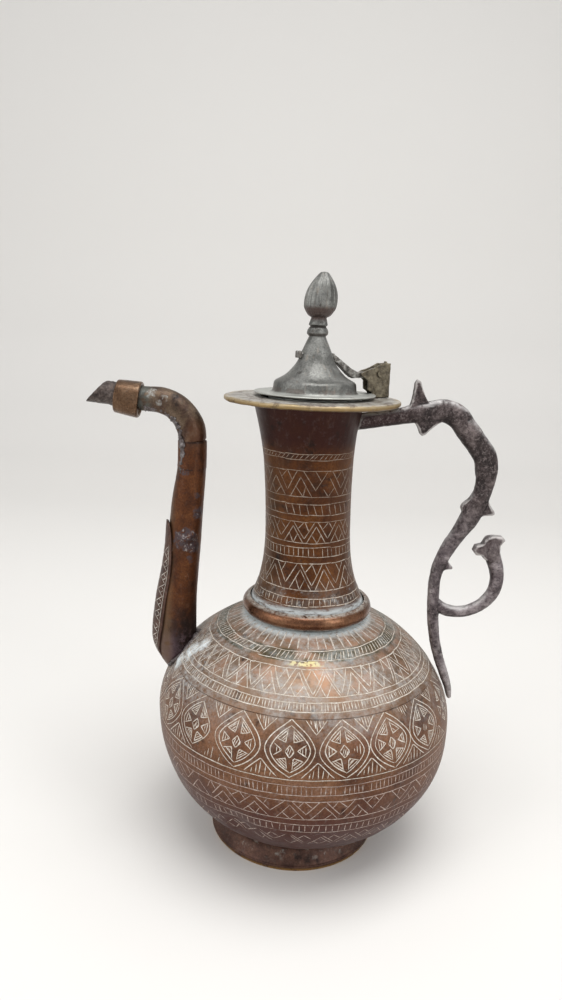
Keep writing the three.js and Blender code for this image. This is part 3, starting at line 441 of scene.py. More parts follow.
class Look:
    """Material with short calls for its nodes."""

    def __init__(self, name):
        self.material = bpy.data.materials.new(name)
        self.material.use_nodes = True
        self.tree = self.material.node_tree
        self.place = self.node("ShaderNodeTexCoord").outputs["Object"]
        self.xyz = self.node("ShaderNodeSeparateXYZ", self.place).outputs

    def node(self, kind, *inputs, **settings):
        node = self.tree.nodes.new(kind)
        for key, value in settings.items():
            setattr(node, key, value)
        for socket, value in zip(node.inputs, inputs):
            self.put(socket, value)
        return node

    def put(self, socket, value):
        if isinstance(value, bpy.types.NodeSocket):
            self.tree.links.new(value, socket)
        elif value is not None:
            socket.default_value = value

    def fill(self, node, **sockets):
        """Gives a node its inputs by name, with _ for a space, and returns its first output."""
        for name, value in sockets.items():
            self.put(node.inputs[name.replace("_", " ")], value)
        return node.outputs[0]

    def math(self, operation, *inputs):
        return self.node("ShaderNodeMath", *inputs, operation=operation).outputs[0]

    def add(self, *values):
        return reduce(partial(self.math, "ADD"), values)

    def times(self, *values):
        return reduce(partial(self.math, "MULTIPLY"), values)

    def most(self, *values):
        return reduce(partial(self.math, "MAXIMUM"), values)

    def noise(self, size, detail=4, rough=0.55, stretch=None, distortion=0.0):
        """Noise of this patch size in millimetres."""
        place = self.place
        if stretch:
            place = self.node("ShaderNodeMapping", place, None, None, stretch).outputs[0]
        return self.fill(self.node("ShaderNodeTexNoise"), Vector=place, Scale=1 / (size * MM), Detail=detail,
                         Roughness=rough, Distortion=distortion)

    def span(self, value, low, high):
        """Smooth step of a value from low to high; falls where low is above high."""
        if low > high:
            return self.math("SUBTRACT", 1.0, self.span(value, high, low))
        node = self.node("ShaderNodeMapRange", interpolation_type="SMOOTHSTEP")
        return self.fill(node, Value=value, From_Min=low, From_Max=high)

    def spots(self, size, low, high, **more):
        """Mask from noise: 0 below low, 1 above high."""
        return self.span(self.noise(size, **more), low, high)

    def x(self, low, high, axis="X"):
        """Smooth step along an axis of the shared frame, in millimetres."""
        return self.span(self.xyz[axis], low * MM, high * MM)

    def height(self, low, high):
        return self.x(low, high, "Z")

    def band(self, low, high, soft):
        """1 between two heights, fading out over soft."""
        return self.times(self.height(low - soft, low), self.height(high + soft, high))

    def reach(self):
        """Distance in metres from the vessel's axis."""
        x, y = self.math("SUBTRACT", self.xyz["X"], AXIS_X * MM), self.xyz["Y"]
        return self.math("SQRT", self.add(self.times(x, x), self.times(y, y)))

    def ramp(self, value, places, tones):
        """Tones, given in one text, at places of a value."""
        node = self.node("ShaderNodeValToRGB", value)
        elements = node.color_ramp.elements
        while len(elements) < len(places):
            elements.new(0.5)
        for element, at, tone in zip(elements, places, tones.split()):
            element.position = at
            element.color = srgb(tone)
        return node.outputs[0]

    def mix(self, factor, a, b, blend="MIX"):
        node = self.node("ShaderNodeMix", factor, data_type="RGBA", blend_type=blend)
        for socket, value in zip(node.inputs[6:8], (a, b)):
            self.put(socket, srgb(value) if isinstance(value, str) else value)
        return node.outputs[2]

    def blend(self, factor, a, b):
        """Number between a and b."""
        return self.node("ShaderNodeMix", factor, None, a, b, data_type="FLOAT").outputs[0]

    def coats(self, colour, *coats):
        """Colour under coats (tone, factor, factor...), laid on in turn."""
        for tone, *factors in coats:
            colour = self.mix(self.times(*factors), colour, tone)
        return colour

    def finish(self, colour, roughness, metallic=None, relief=None):
        """Joins them to the shader. Relief is a height, its strength and its depth in millimetres."""
        shader = self.tree.nodes["Principled BSDF"]
        self.fill(shader, Base_Color=colour, Roughness=roughness, Metallic=metallic)
        if relief:
            height, strength, depth = relief
            bump = self.node("ShaderNodeBump")
            self.fill(shader, Normal=self.fill(bump, Strength=strength, Distance=depth * MM, Height=height))
        return self.material


def aged(name, tones, patch=14, dust="#b9b7ae", dust_mask=None, dark="#1d120d", dark_mask=None, tint=None,
         rough=(0.34, 0.58), metallic=0.9, scratches=0.06, relief=0.5, film=0.08, depth=0.35, white=None):
    """Old worked metal: tones by patches, dark stains, pale dust, fine scratches and pits.

    Masks are functions of the look, and so is tint, which returns coats.
    """
    look = Look(name)
    clouds = look.noise(patch, detail=6, rough=0.6, distortion=0.4)
    grain = look.noise(1.1, detail=5, rough=0.7)
    colour = look.ramp(clouds, np.linspace(0.28, 0.72, 4), tones)
    colour = look.mix(look.span(grain, 0.35, 0.7), colour, "#8c8c8c", blend="OVERLAY")
    stain = look.spots(9, 0.56, 0.74, detail=7, rough=0.65)
    if dark_mask:
        stain = look.most(look.times(stain, 0.6), dark_mask(look))
    fine = look.noise(3.2, detail=8, rough=0.72)
    powder = look.times(look.span(fine, 0.52, 0.66), film)
    if dust_mask:
        powder = look.most(powder, dust_mask(look))
    lines = look.noise(2.2, detail=3, stretch=(1, 1, 0.06), distortion=0.3)
    coats = list(tint(look)) if tint else []
    coats += [(dark, stain), (dust, powder)]
    if white:
        coats.append(("#e2e8e8", white(look)))
    colour = look.coats(colour, *coats, ("#a58a72", look.span(lines, 0.6, 0.68), scratches))
    roughness = look.blend(powder, look.blend(look.span(clouds, 0.3, 0.7), *rough), 0.85)
    height = look.add(look.times(clouds, 1.2), look.times(grain, 0.5 * relief), look.times(fine, 0.5),
                      look.times(lines, -0.3))
    return look.finish(colour, roughness, look.blend(powder, metallic, 0.0), relief=(height, 0.55, depth))


def blobs(look, *places, soft=1.5):
    """Mask of soft-edged blobs, given as (x, y, z, radius) in millimetres about the vessel's axis."""
    edge = look.times(look.math("SUBTRACT", look.noise(5, detail=4, rough=0.6), 0.5), 9 * MM)
    masks = []
    for x, y, z, radius in places:
        middle = Vector((x + AXIS_X, y, z)) * MM
        away = look.node("ShaderNodeVectorMath", look.place, middle, operation="DISTANCE").outputs["Value"]
        masks.append(look.span(look.add(away, edge), radius * MM, (radius - soft) * MM))
    return look.most(*masks)


def root_spot(look, more=0):
    """Where lime has run down from the root of the spout, in streaks that fade outward."""
    spot = blobs(look, *((*at, radius + more) for *at, radius in ROOT_SPOTS), soft=5 + more / 2)
    return look.times(spot, look.spots(4, 0.26, 0.5, detail=7, rough=0.72, stretch=(0.5, 1, 1.2)))


def lime_on_belly(look):
    """Lime round the hoop, in streaks on the shoulder, in a fillet by the spout and as a haze below."""
    streaks = partial(look.span, look.noise(2.6, detail=7, rough=0.72))
    return look.most(
        look.times(look.height(143.2, 149.5), streaks(0.4, 0.66), 0.85),
        look.times(look.height(146.2, 148.8), streaks(0.24, 0.5)),
        look.times(look.height(92, 130), look.spots(15, 0.36, 0.62, detail=5), streaks(0.3, 0.72), 0.48),
        look.times(look.height(60, 96), look.spots(3.4, 0.58, 0.72, detail=8, rough=0.78), 0.3),
        look.times(root_spot(look, 5), streaks(0.3, 0.55)),
        look.times(look.x(-20, -70), look.height(98, 126), streaks(0.36, 0.66), 0.6),
    )


belly_look = aged(
    "belly_copper", "#4f3120 #6b4630 #805a40 #95705a", patch=24, metallic=0.72, rough=(0.38, 0.56),
    dust="#c6cecf", dark="#2a1710", depth=0.22, dust_mask=lime_on_belly,
    white=lambda k: k.times(root_spot(k, 2), 0.9),
    tint=lambda k: (
        # Dark red-brown towards the bottom: a painted reflection of red cloth.
        ("#421811", k.height(92, 44), 0.92),
        ("#5b4a37", k.height(143, 145), k.spots(9, 0.3, 0.6), 0.7),
        # Paler upper belly: partly lime haze, partly a painted highlight.
        ("#86705a", k.height(106, 128), 0.6),
        # Lighter copper-beige patches on the shoulder: a painted highlight.
        ("#a37c62", k.height(118, 136), k.spots(11, 0.46, 0.6), 0.6),
        ("#45422c", k.band(139.8, 143.4, 0.6), k.spots(12, 0.34, 0.54), 0.85),
        ("#bcb183", k.band(138.4, 139.8, 0.4), k.x(-6, -1), k.x(21, 11), k.x(10, -20, "Y"),
         k.spots(2.4, 0.42, 0.52)),
    ),
)
neck_look = aged(
    "neck_copper", "#331b0c #4e2a10 #603714 #72461e", patch=15, metallic=0.72, rough=(0.36, 0.52),
    dark="#170b07", dust="#b4b9b9", film=0.03, scratches=0.03, depth=0.2,
    tint=lambda k: (
        # Dark top of the neck: painted shade under the rim.
        ("#2a0c08", k.height(248, 262), 0.9),
        ("#6a5038", k.x(-4, -22), k.height(262, 230), 0.4),
        ("#6c4a34", k.x(14, 30), k.height(262, 240), 0.35),
        ("#5d5650", k.height(180, 166), k.spots(9, 0.4, 0.6), 0.55),
    ),
    dust_mask=lambda k: k.most(
        k.times(k.height(163.4, 160.5),
                k.spots(2.6, 0.32, 0.56, detail=7, rough=0.7, stretch=(0.4, 0.4, 1.6))),
        k.times(k.height(182, 164), k.spots(4, 0.5, 0.7, detail=8, rough=0.75), 0.6),
    ),
)
hoop_look = aged(
    "hoop_copper", "#4f3020 #684430 #7c563e #8f6a50", patch=14, metallic=0.85, rough=(0.22, 0.32),
    dust="#b4b2aa", dark="#2c1a12", film=0.02, depth=0.08,
    dust_mask=lambda k: k.times(k.most(k.height(158, 159.6), k.height(152.2, 150.8)),
                                k.spots(2.4, 0.36, 0.6, detail=7, rough=0.7), 0.85),
)
stem_look = aged(
    "stem_copper", "#351a0b #4c2811 #5f3517 #6f4423", patch=13, metallic=0.66, rough=(0.34, 0.52),
    dark="#1a0d08", dust="#a39c97", film=0.03, scratches=0.04,
    tint=lambda k: (
        ("#2c1c18", k.height(160, 138), k.spots(10, 0.3, 0.56), 0.9),
        ("#241b1a", k.height(156, 124), k.x(-74, -66), 0.85),
        ("#55444a", k.height(140, 126), k.spots(5, 0.28, 0.5), 0.85),
        ("#6f5840", k.x(-74, -80), k.height(246, 230), 0.5),
        ("#463a3c", blobs(k, (-73, -11, 195, 8), (-67, -8, 190, 5), (-66, -6, 212, 4.4), (-62, -3, 187, 4),
                          (-75, -10, 236, 3), (-70, -10, 182, 3), (-66, -8, 222, 2.4)),
         k.spots(2.4, 0.36, 0.52, detail=6, rough=0.7)),
        ("#523c2e", k.height(246, 258), 0.5),
        ("#24150e", k.band(237.8, 238.2, 0.4), k.spots(6, 0.4, 0.5), 0.75),
        ("#24150e", k.band(254.2, 255.2, 0.4), k.spots(6, 0.4, 0.5), 0.75),
    ),
    dark_mask=lambda k: k.times(k.height(164, 130), k.x(-78, -68),
                                k.spots(3.4, 0.4, 0.54, detail=7, rough=0.72), 0.95),
    dust_mask=lambda k: k.times(
        blobs(k, (-75, -11, 197, 5), (-80, -8, 189, 3), (-66, -9, 197, 4.5), (-71, -11, 190, 4),
              (-72, -11, 171, 2.4), (-64, -8, 168, 2.4), (-78, -8, 241, 4), (-66, -7, 212, 3)),
        k.spots(1.7, 0.54, 0.64, detail=6, rough=0.7), 0.7),
)
elbow_look = aged(
    "elbow_copper", "#32241c #4b382d #62503f #776454", patch=8, metallic=0.66, rough=(0.34, 0.52),
    dark="#1a1210", dust="#a3a49f", film=0.05,
    tint=lambda k: (
        ("#57331c", k.height(272, 262), k.x(-72, -66), 0.6),
        ("#4c5350", k.x(-88, -94), k.spots(4, 0.36, 0.56), 0.7),
    ),
    dust_mask=lambda k: k.times(blobs(k, (-95, -6, 283, 3.4), (-87, -7, 281, 3), (-90, -8, 278, 2.4)),
                                k.spots(2.2, 0.4, 0.6, detail=7, rough=0.7), 0.7),
)
solder_look = aged(
    "old_solder", "#2f2623 #4d4341 #706867 #a09b9b", patch=3, metallic=0.5, rough=(0.3, 0.5),
    dark="#1d1614", dust="#c4cac9", relief=1.8, depth=0.6,
)


def lime_fill(name, tones, bare, faint=None):
    """Lime in the cuts, with this share of them left bare and dark. It grows faint between two heights."""
    look = Look(name)
    worn = look.noise(9, detail=5, rough=0.65)
    colour = look.ramp(look.noise(1.6, detail=5, rough=0.7), (0.32, 0.5, 0.68), tones)
    colour = look.coats(colour, ("#3c2418", look.span(worn, bare + 0.12, bare - 0.12)))
    if faint:
        colour = look.coats(colour, ("#5d3f2b", look.height(*faint), 0.55))
    return look.finish(colour, 0.8)


belly_lime = lime_fill("lime_on_belly", "#978776 #c0b6a8 #e2dfd8", 0.3)
neck_lime = lime_fill("lime_on_neck", "#87705e #b0a292 #d6cfc5", 0.4, faint=(176, 236))
low_lime = lime_fill("lime_on_bowl", "#84665c #a8958a #cabfb6", 0.36)
sheath_lime = lime_fill("lime_on_sheath", "#8f8276 #b9b0a5 #dedad2", 0.3)
foot_look = aged(
    "foot_copper", "#33211a #4c332a #5f4337 #735749", patch=11, metallic=0.66, dark="#1a0f0b", film=0.04,
    tint=lambda k: [("#93703f", k.height(2.6, 0.6), k.spots(4, 0.3, 0.5))],
    dust_mask=lambda k: k.times(k.height(4, 9), k.spots(5, 0.56, 0.7, detail=6), 0.35),
)
sleeve_look = aged(
    "sleeve_copper", "#45301f #5f4632 #725843 #8b735a", patch=9, metallic=0.8, rough=(0.24, 0.36),
    dark="#20130d", film=0.04,
)
nozzle_look = aged(
    "nozzle_copper", "#241c1a #3d332f #5c514c #8a807a", patch=3, metallic=0.6, rough=(0.34, 0.56),
    dark="#181110", dust="#b4b2ae", relief=1.8, depth=0.7,
)
sheath_look = aged(
    "sheath_copper", "#2f1e18 #4a3229 #5f463b #715a4f", patch=9, metallic=0.6, dark="#170d0a", dust="#8f8880",
)
tin_look = aged(
    "tinned_copper", "#53534f #6e6e6a #858581 #9b9b96", patch=13, dark="#2c2622", dust="#c2c3be",
    rough=(0.36, 0.56), metallic=0.7, scratches=0.12,
    tint=lambda k: (
        ("#46302b", k.band(329.6, 334.5, 2.5), 0.75),
        ("#4a403c", k.height(321.4, 320.4), k.height(319, 319.6), 0.6),
        ("#29211e", k.band(324.2, 325.2, 0.5), 0.85),
        ("#b9bab4", k.height(287.6, 286.4), 0.85),
        ("#5a504a", k.band(287.6, 289.4, 0.8), k.spots(5, 0.4, 0.55), 0.6),
    ),
)
strap_look = aged(
    "strap_tin", "#3a3430 #6a655f #95928c #c3c2bd", patch=2.6, dark="#211915", dust="#dcdcd7", metallic=0.5,
    rough=(0.4, 0.6), relief=1.6, film=0.4, depth=0.6,
)
rim_look = aged(
    "rim_brass", "#6b6055 #8a8277 #a39c90 #b4ada2", patch=9, dark="#2c2019", dust="#c6c5c0", metallic=0.6,
    tint=lambda k: (
        ("#a38e66", k.span(k.reach(), 0.0475, 0.0515), 0.8),
        ("#8a7146", k.height(283.2, 282.2), 0.8),
        # Dark underside of the rolled edge: painted shade.
        ("#4f3a26", k.height(282, 281), 0.7),
        # Whitish patches on the top of the plate: a painted highlight.
        ("#bdbbb6", k.height(283.3, 283.9), k.spots(6, 0.34, 0.62), 0.7),
        ("#57463d", k.height(283.0, 283.6),
         k.spots(6, 0.5, 0.64, detail=7, rough=0.72, stretch=(1, 0.4, 1)), 0.8),
    ),
)
brass_look = aged(
    "hinge_brass", "#3d362c #615848 #7e7562 #99907b", patch=4, dark="#1d1510", dust="#b1ae9f", metallic=0.6,
    relief=1.6, depth=0.6,
)


def cast_metal():
    """Cast alloy: granular dark grey-brown skin, with painted highlights on its ridges and its upward faces,
    which are partly chalky, and painted shade in its hollows and on its downward faces.
    """
    look = Look("cast_alloy")
    clouds = look.noise(9, detail=6, rough=0.62, distortion=0.3)
    grain = look.noise(1.6, detail=7, rough=0.78)
    patchy = look.spots(6, 0.36, 0.58, detail=6, rough=0.7)
    normal = look.node("ShaderNodeNewGeometry").outputs["Normal"]
    upward = look.node("ShaderNodeSeparateXYZ", normal).outputs["Z"]
    ridge = look.node("ShaderNodeAttribute", attribute_name="ridge").outputs["Fac"]
    ridge = look.add(ridge, look.times(look.math("SUBTRACT", grain, 0.5), 0.12))
    colour = look.coats(
        look.ramp(clouds, (0.28, 0.42, 0.54, 0.68), "#171111 #2c2423 #463c3b #776c6a"),
        (look.ramp(clouds, (0.32, 0.48, 0.64), "#2e2728 #665c5f #aba2a3"), look.height(228, 190), 0.75),
        ("#3b2d2b", blobs(look, (113, 0, 195, 13), soft=5), 0.65),
        # Dark red-brown on the arm under the rim: painted shade.
        ("#33191a", look.x(75, 45), look.height(250, 262), 0.6),
        ("#857a78", look.span(grain, 0.5, 0.66), 0.7),
        ("#171112", look.span(grain, 0.46, 0.36), 0.9),
        # Lighter upward faces: partly chalk, partly a painted highlight from light above; darker downward
        # faces: painted shade.
        ("#bdbab8", look.span(upward, 0.2, 0.7), patchy, 0.75),
        ("#1d1516", look.span(upward, -0.1, -0.6), 0.7),
        # Pale ridges: painted highlight; dark hollows: painted shade.
        ("#b3aeab", look.span(ridge, 0.1, 0.3), look.span(patchy, -0.3, 0.7), 0.8),
        ("#161011", look.span(ridge, -0.04, -0.16), 0.75),
    )
    height = look.add(look.times(clouds, 1.2), look.times(grain, 1.3))
    return look.finish(colour, look.blend(grain, 0.34, 0.6), metallic=0.6, relief=(height, 0.7, 0.5))


cast_look = cast_metal()


# Belly, neck and their rings

def belly_centre(z):
    return BELLY_OFFSET + BOWL_DRIFT * soft_step((SEAM_Z - np.asarray(z, float)) / (SEAM_Z - BOWL_DRIFT_Z))


def belly_radius(z):
    z = np.asarray(z, float)
    reach = np.where(z > BELLY_MID_Z, SHOULDER_REACH, BOWL_REACH)
    fullness = np.where(z > BELLY_MID_Z, SHOULDER_FULLNESS, BOWL_FULLNESS)
    share = np.minimum(1, np.abs(z - BELLY_MID_Z) / reach)
    return BELLY_RADIUS * np.sqrt(np.maximum(1e-4, 1 - share**fullness))


def belly_bump(angle, z):
    """Planished sheet with dents."""
    bump = 0.16 * round_noise(angle, z, 9, seed=4, octaves=2)
    bump += 0.3 * round_noise(angle, z, 34, seed=5, octaves=1)
    turn = (angle + 180) % 360 - 180
    for at, high, size, depth in DENTS:
        away = np.hypot(np.radians(turn - at) * belly_radius(high), z - high)
        bump = bump - depth * np.exp(-((away / size) ** 2))
    return bump - 0.2


belly = Form(belly_radius, belly_centre, belly_bump)
shoulder = Form(belly_radius, belly_centre, lambda angle, z: SEAM_STEP + belly_bump(angle, z))
neck_curve = catmull([(NECK_LINE[0][0], NECK_FOOT_Z - 1)] + NECK_LINE, 12)
neck = Form(
    lambda z: np.interp(z, neck_curve[:, 1], neck_curve[:, 0]),
    lambda z: BELLY_OFFSET - NECK_LEAN * np.maximum(0, z - STUB_TOP_Z) / (NECK_TOP_Z - STUB_TOP_Z),
    lambda a, z: 0.10 * round_noise(a, z, 8, seed=8, octaves=2) + 0.18 * round_noise(a, z, 30, seed=9),
)


def belly_heights(low, high, steps):
    """Heights on the belly, closer together where it curves in."""
    reach = lambda above: SHOULDER_REACH if above > 0 else BOWL_REACH
    ends = [z - BELLY_MID_Z for z in (low, high)]
    angles = np.linspace(*(math.asin(max(-1, min(1, end / reach(end)))) for end in ends), steps)
    return [BELLY_MID_Z + reach(a) * math.sin(a) for a in angles]


hole_share = 1 - (SHOULDER_HOLE_RADIUS / BELLY_RADIUS) ** 2
shoulder_top = BELLY_MID_Z + SHOULDER_REACH * hole_share ** (1 / SHOULDER_FULLNESS)
shell("belly_bowl", belly, belly_heights(BELLY_BOTTOM_Z + 0.2, SEAM_Z - 0.3, 110), belly_look, 300,
      replaces=["belly_lower"], slot="belly_copper")
shell("belly_shoulder", shoulder, belly_heights(SEAM_Z, shoulder_top, 60), belly_look, 300,
      replaces=["belly_upper"], slot="belly_copper")
turned("belly_floor", [(0.01, 8.5), (33.4, 8.5), (34.4, 8.9), (34.4, 9.8), (0.01, 9.8)], foot_look,
       centre=(BELLY_OFFSET + BOWL_DRIFT, 0), slot="belly_copper")
shell("neck_tube", neck, np.linspace(NECK_FOOT_Z, NECK_TOP_Z, 110), neck_look, 200,
      replaces=["neck"], slot="neck_copper")

hoop_line = [(HOOP_INNER_RADIUS, NECK_FOOT_Z)] + [
    (HOOP_INNER_RADIUS + HOOP_THICKNESS * math.cos(a), NECK_FOOT_Z + HOOP_HEIGHT / 2 * (1 + math.sin(a)))
    for a in np.radians(np.linspace(-88, 88, 17))
] + [(HOOP_INNER_RADIUS, NECK_FOOT_Z + HOOP_HEIGHT)]
turned("neck_hoop", hoop_line, hoop_look, centre=(BELLY_OFFSET, 0), around=200, replaces=["collar_ring"],
       slot="belly_copper", bump=lambda a, r, z: 0.18 * round_noise(a, z, 10, seed=11, octaves=2))


# Rim plate, with a rolled edge that hand work left uneven

def rim_bump(angle, r, z):
    share = np.clip((r - RIM_FLAT_RADIUS) / (RIM_RADIUS - RIM_FLAT_RADIUS), 0, 1)
    wave = 0.25 * round_noise(angle, z, 22, seed=21) + 0.12 * round_noise(angle, z, 5, seed=22)
    return share * wave - 0.1


roll = RIM_EDGE / 2
rim_line = [(MOUTH_RADIUS, RIM_TOP_Z - RIM_PLATE + 0.3), (MOUTH_RADIUS, RIM_TOP_Z - 0.3)]
rim_line += [(MOUTH_RADIUS + 0.3, RIM_TOP_Z)]
rim_line += [(r, RIM_TOP_Z) for r in np.linspace(33, RIM_RADIUS - 2.4, 12)]
rim_line += [
    (RIM_RADIUS - roll + roll * math.cos(a), RIM_TOP_Z - roll + roll * math.sin(a))
    for a in np.radians(np.linspace(85, -120, 14))
]
rim_line += [(r, RIM_TOP_Z - RIM_PLATE) for r in np.linspace(RIM_RADIUS - 3.4, MOUTH_RADIUS + 0.4, 12)]
turned("rim", rim_line[::-1], rim_look, bump=rim_bump, around=240, replaces=["rim_plate"], slot="old_brass")


# Foot

def under_belly(points):
    """Cuts what reaches into the bowl back to its underside."""
    away = np.hypot(points[..., 0] - BELLY_OFFSET - BOWL_DRIFT, points[..., 1])
    full = np.maximum(1e-6, 1 - (np.minimum(away, 90) / BELLY_RADIUS) ** 2)
    seat = BELLY_MID_Z - BOWL_REACH * full ** (1 / BOWL_FULLNESS)
    z = points[..., 2]
    points[..., 2] = np.where(z > BELLY_BOTTOM_Z + 0.5, np.minimum(z, seat + 0.2), z)
    return points


foot_outer = catmull([
    (FOOT_RADIUS - 0.4, 0), (FOOT_RADIUS, 0.8), (FOOT_RADIUS, FOOT_HEM_HEIGHT - 0.5),
    (FOOT_RADIUS - 1.0, FOOT_HEM_HEIGHT + 0.5), (51.0, 6.6), (FOOT_WAIST_RADIUS, 11), (49.6, 15.2),
    (50.2, 20),
], 6)
foot_inner = catmull([
    (48.9, 20), (48.3, 15.2), (FOOT_WAIST_RADIUS - 1.3, 11), (49.7, 6.2), (50.2, FOOT_HEM_HEIGHT),
    (50.2, 0.6), (50.6, 0),
], 5)
turned("foot", np.vstack([foot_outer, foot_inner]), foot_look, around=240, shape=under_belly,
       bump=lambda a, r, z: 0.14 * round_noise(a, z, 12, seed=31, octaves=2) * min(1, z / 1.5),
       replaces=["foot_ring"], slot="dark_copper")


# Spout

stem_curve = catmull(STEM, 12)


class StemForm(Form):
    """Skin of the stem, or of what hugs it, over (angle, height)."""

    def __init__(self, out=0.0):
        self.out = out

    def at(self, angle, z, out=0.0):
        angle, z = np.broadcast_arrays(np.asarray(angle, float), np.asarray(z, float))
        x, half, side = (np.interp(z, stem_curve[:, 1], stem_curve[:, k]) for k in (0, 2, 3))
        a, grow = np.radians(angle), self.out + out
        return np.stack([x + (half + grow) * np.sin(a), -(side + grow) * np.cos(a), z + 0 * a], -1)


def spout_bump(along, angle):
    """Uneven sheet, lumps of solder and the lapped top of the stem."""
    z = np.interp(along * (len(stem_curve) - 1), np.arange(len(stem_curve)), stem_curve[:, 1])
    place = StemForm().at(np.degrees(angle) + 90, z)
    lumps = sum(
        height * np.exp(-(np.linalg.norm(place - middle, axis=-1) / size) ** 2)
        for *middle, size, height in SPOUT_LUMPS
    )
    lap = 0.16 * (z > STEM_LAP[0]) * (z < STEM_LAP[1])
    uneven = 0.14 * noise(3 * np.cos(angle), 3 * np.sin(angle), 26 * along + 0 * angle, seed=41)
    return lumps * (1 + 0.9 * noise(*(place.T / 1.1), seed=42)) + lap + uneven - 0.15


def elbow_bump(along, angle):
    """Soldered lap along the inner front of the bend and dents of its wrinkled sheet."""
    away = (np.degrees(angle) - ELBOW_SEAM_TURN + 180) % 360 - 180
    seam = 1.1 * np.exp(-((away / 14) ** 2)) * (0.7 + 0.6 * noise(34 * along + 0 * angle, away / 20, seed=43))
    wrinkles = 0.14 * noise(3 * np.cos(angle), 3 * np.sin(angle), 14 * along + 0 * angle, seed=44)
    return (seam if along > 0.28 else 0) + wrinkles - 0.1


tube("spout_pipe", STEM, 24, stem_look, spout_bump, replaces=["spout_stem"], slot="neck_copper")
tube("spout_bend", ELBOW, 14, elbow_look, elbow_bump, replaces=["spout_elbow"], slot="neck_copper")

# Rough bead of solder up the inner front of the bend
seam_line, seam_out = [], []
for z in np.linspace(235.5, 255.5, 22):
    turn = -40 - 4 * math.sin(z / 3.1)
    seam_line.append(StemForm().at(turn, z))
    seam_out.append((math.sin(math.radians(turn)), -math.cos(math.radians(turn)), 0))
for point, (x, z, *_) in zip(sweep(ELBOW, 14, oval)[:, 30], catmull(ELBOW, 14)):
    if z > 256.5 and x > -100:
        seam_line.append(point)
        seam_out.append((point - (x, 0, z)) / np.linalg.norm(point - (x, 0, z)))
seam_line, seam_out = np.array(seam_line), np.array(seam_out)
seam_side = np.cross(unit(np.gradient(seam_line, axis=0)), seam_out)
ring_angle = np.linspace(0, 2 * math.pi, 20, endpoint=False)
steps = np.arange(len(seam_line))[:, None]
swell = 1 + 0.4 * noise(steps / 5.0, 0 * steps, seed=45) + 0.5 * noise(steps / 1.6, 0 * steps, seed=49)
fade = np.minimum(1, 0.2 + np.minimum(steps, len(steps) - 1 - steps) / 5)
swell = np.maximum(0.25, swell) * fade + 0 * ring_angle
swell += 0.25 * noise(steps / 1.4, np.cos(ring_angle) * 1.5, np.sin(ring_angle) * 1.5, seed=50)
seam = strand(seam_line, seam_out, seam_side, swell, 0.75, 1.5)
piece("elbow_solder", *capped(seam), solder_look, slot="neck_copper")

# Sheath on the stem's outer side, its point a little peeled
sheath_form = StemForm(1.5)


def sheath_turn(z):
    """Angle of the sheath's middle line, which drifts a little to the front towards its point."""
    return -90 + 10 * soft_step((z - 150) / (SHEATH_TOP_Z - 150))


def sheath_reach(z):
    """Half the angle that the sheath covers: a leaf with a short foot and a long point."""
    return np.interp(z, [108, 114, 121, 129, 138, 152, 166, 174, 182, 190, 198, 202, 204, SHEATH_TOP_Z],
                     [14, 28, 40, 54, 61, 63, 63, 59, 53, 46, 38, 30, 22, 10])


sheath_rows = []
across = np.linspace(-1, 1, 33)
for z in np.linspace(SHEATH_FOOT_Z, SHEATH_TOP_Z, 90):
    share = (z - SHEATH_FOOT_Z) / (SHEATH_TOP_Z - SHEATH_FOOT_Z)
    turn = sheath_reach(z) * across + sheath_turn(z)
    peel = 0.8 * max(0, share - 0.84) / 0.16
    waves = 0.18 * noise(turn / 22, 0 * turn + z / 9, seed=46)
    outer = sheath_form.at(turn, z, np.minimum(0, waves - 0.1) + peel - 0.4 * np.abs(across) ** 12)
    inner = sheath_form.at(turn[::-1], z, peel - 1.25 + 0.5 * max(0, share - 0.6))
    sheath_rows.append(np.vstack([outer, inner]))
piece("sheath", *capped(np.stack(sheath_rows)), sheath_look, replaces=["spout_sheath"], slot="dark_copper")


# Solder run round the root of the stem, where it stands on the shoulder

def on_belly(x, y):
    """Height of the shoulder's skin over (x, y)."""
    z = np.linspace(92, 148, 600)
    away = np.hypot(x - belly_centre(z), y)
    return z[np.argmin(np.abs(away - belly_radius(z)))]


root = []
for turn in np.linspace(0, 360, 120, endpoint=False):
    z = 128.0
    for _ in range(12):
        x, y, _z = StemForm(0.8).at(turn, z)
        z = 0.5 * (z + on_belly(x, y))
    root.append(StemForm(0.9).at(turn, z))
root = sum(np.roll(root, shift, 0) for shift in (-2, -1, 0, 1, 2)) / 5
along = unit(np.roll(root, -1, 0) - np.roll(root, 1, 0))
up = unit(np.array([0, 0, 1.0]) - along * along[:, 2:])
steps = np.arange(len(root))
swell = 1.5 + 0.5 * noise(steps / 9, seed=47) + 0.5 * noise(steps / 2.5, seed=48)
swell[-3:] = swell[0]
bead = strand(root, up, np.cross(along, up), np.repeat(swell[:, None], 16, axis=1), 0.9, 1.2)
piece("spout_solder", bead, grid_faces(*bead.shape[:2], closed_rows=True), solder_look, slot="belly_copper")


def tilted(points):
    """Carries points along -X from the sleeve's start to their place on the tilted end of the spout."""
    x, y, z = np.moveaxis(np.asarray(points, float), -1, 0)
    c, s = math.cos(TIP_TILT), math.sin(TIP_TILT)
    return np.stack([SLEEVE_X + x * c + z * s, y, SLEEVE_Z - x * s + z * c], -1)


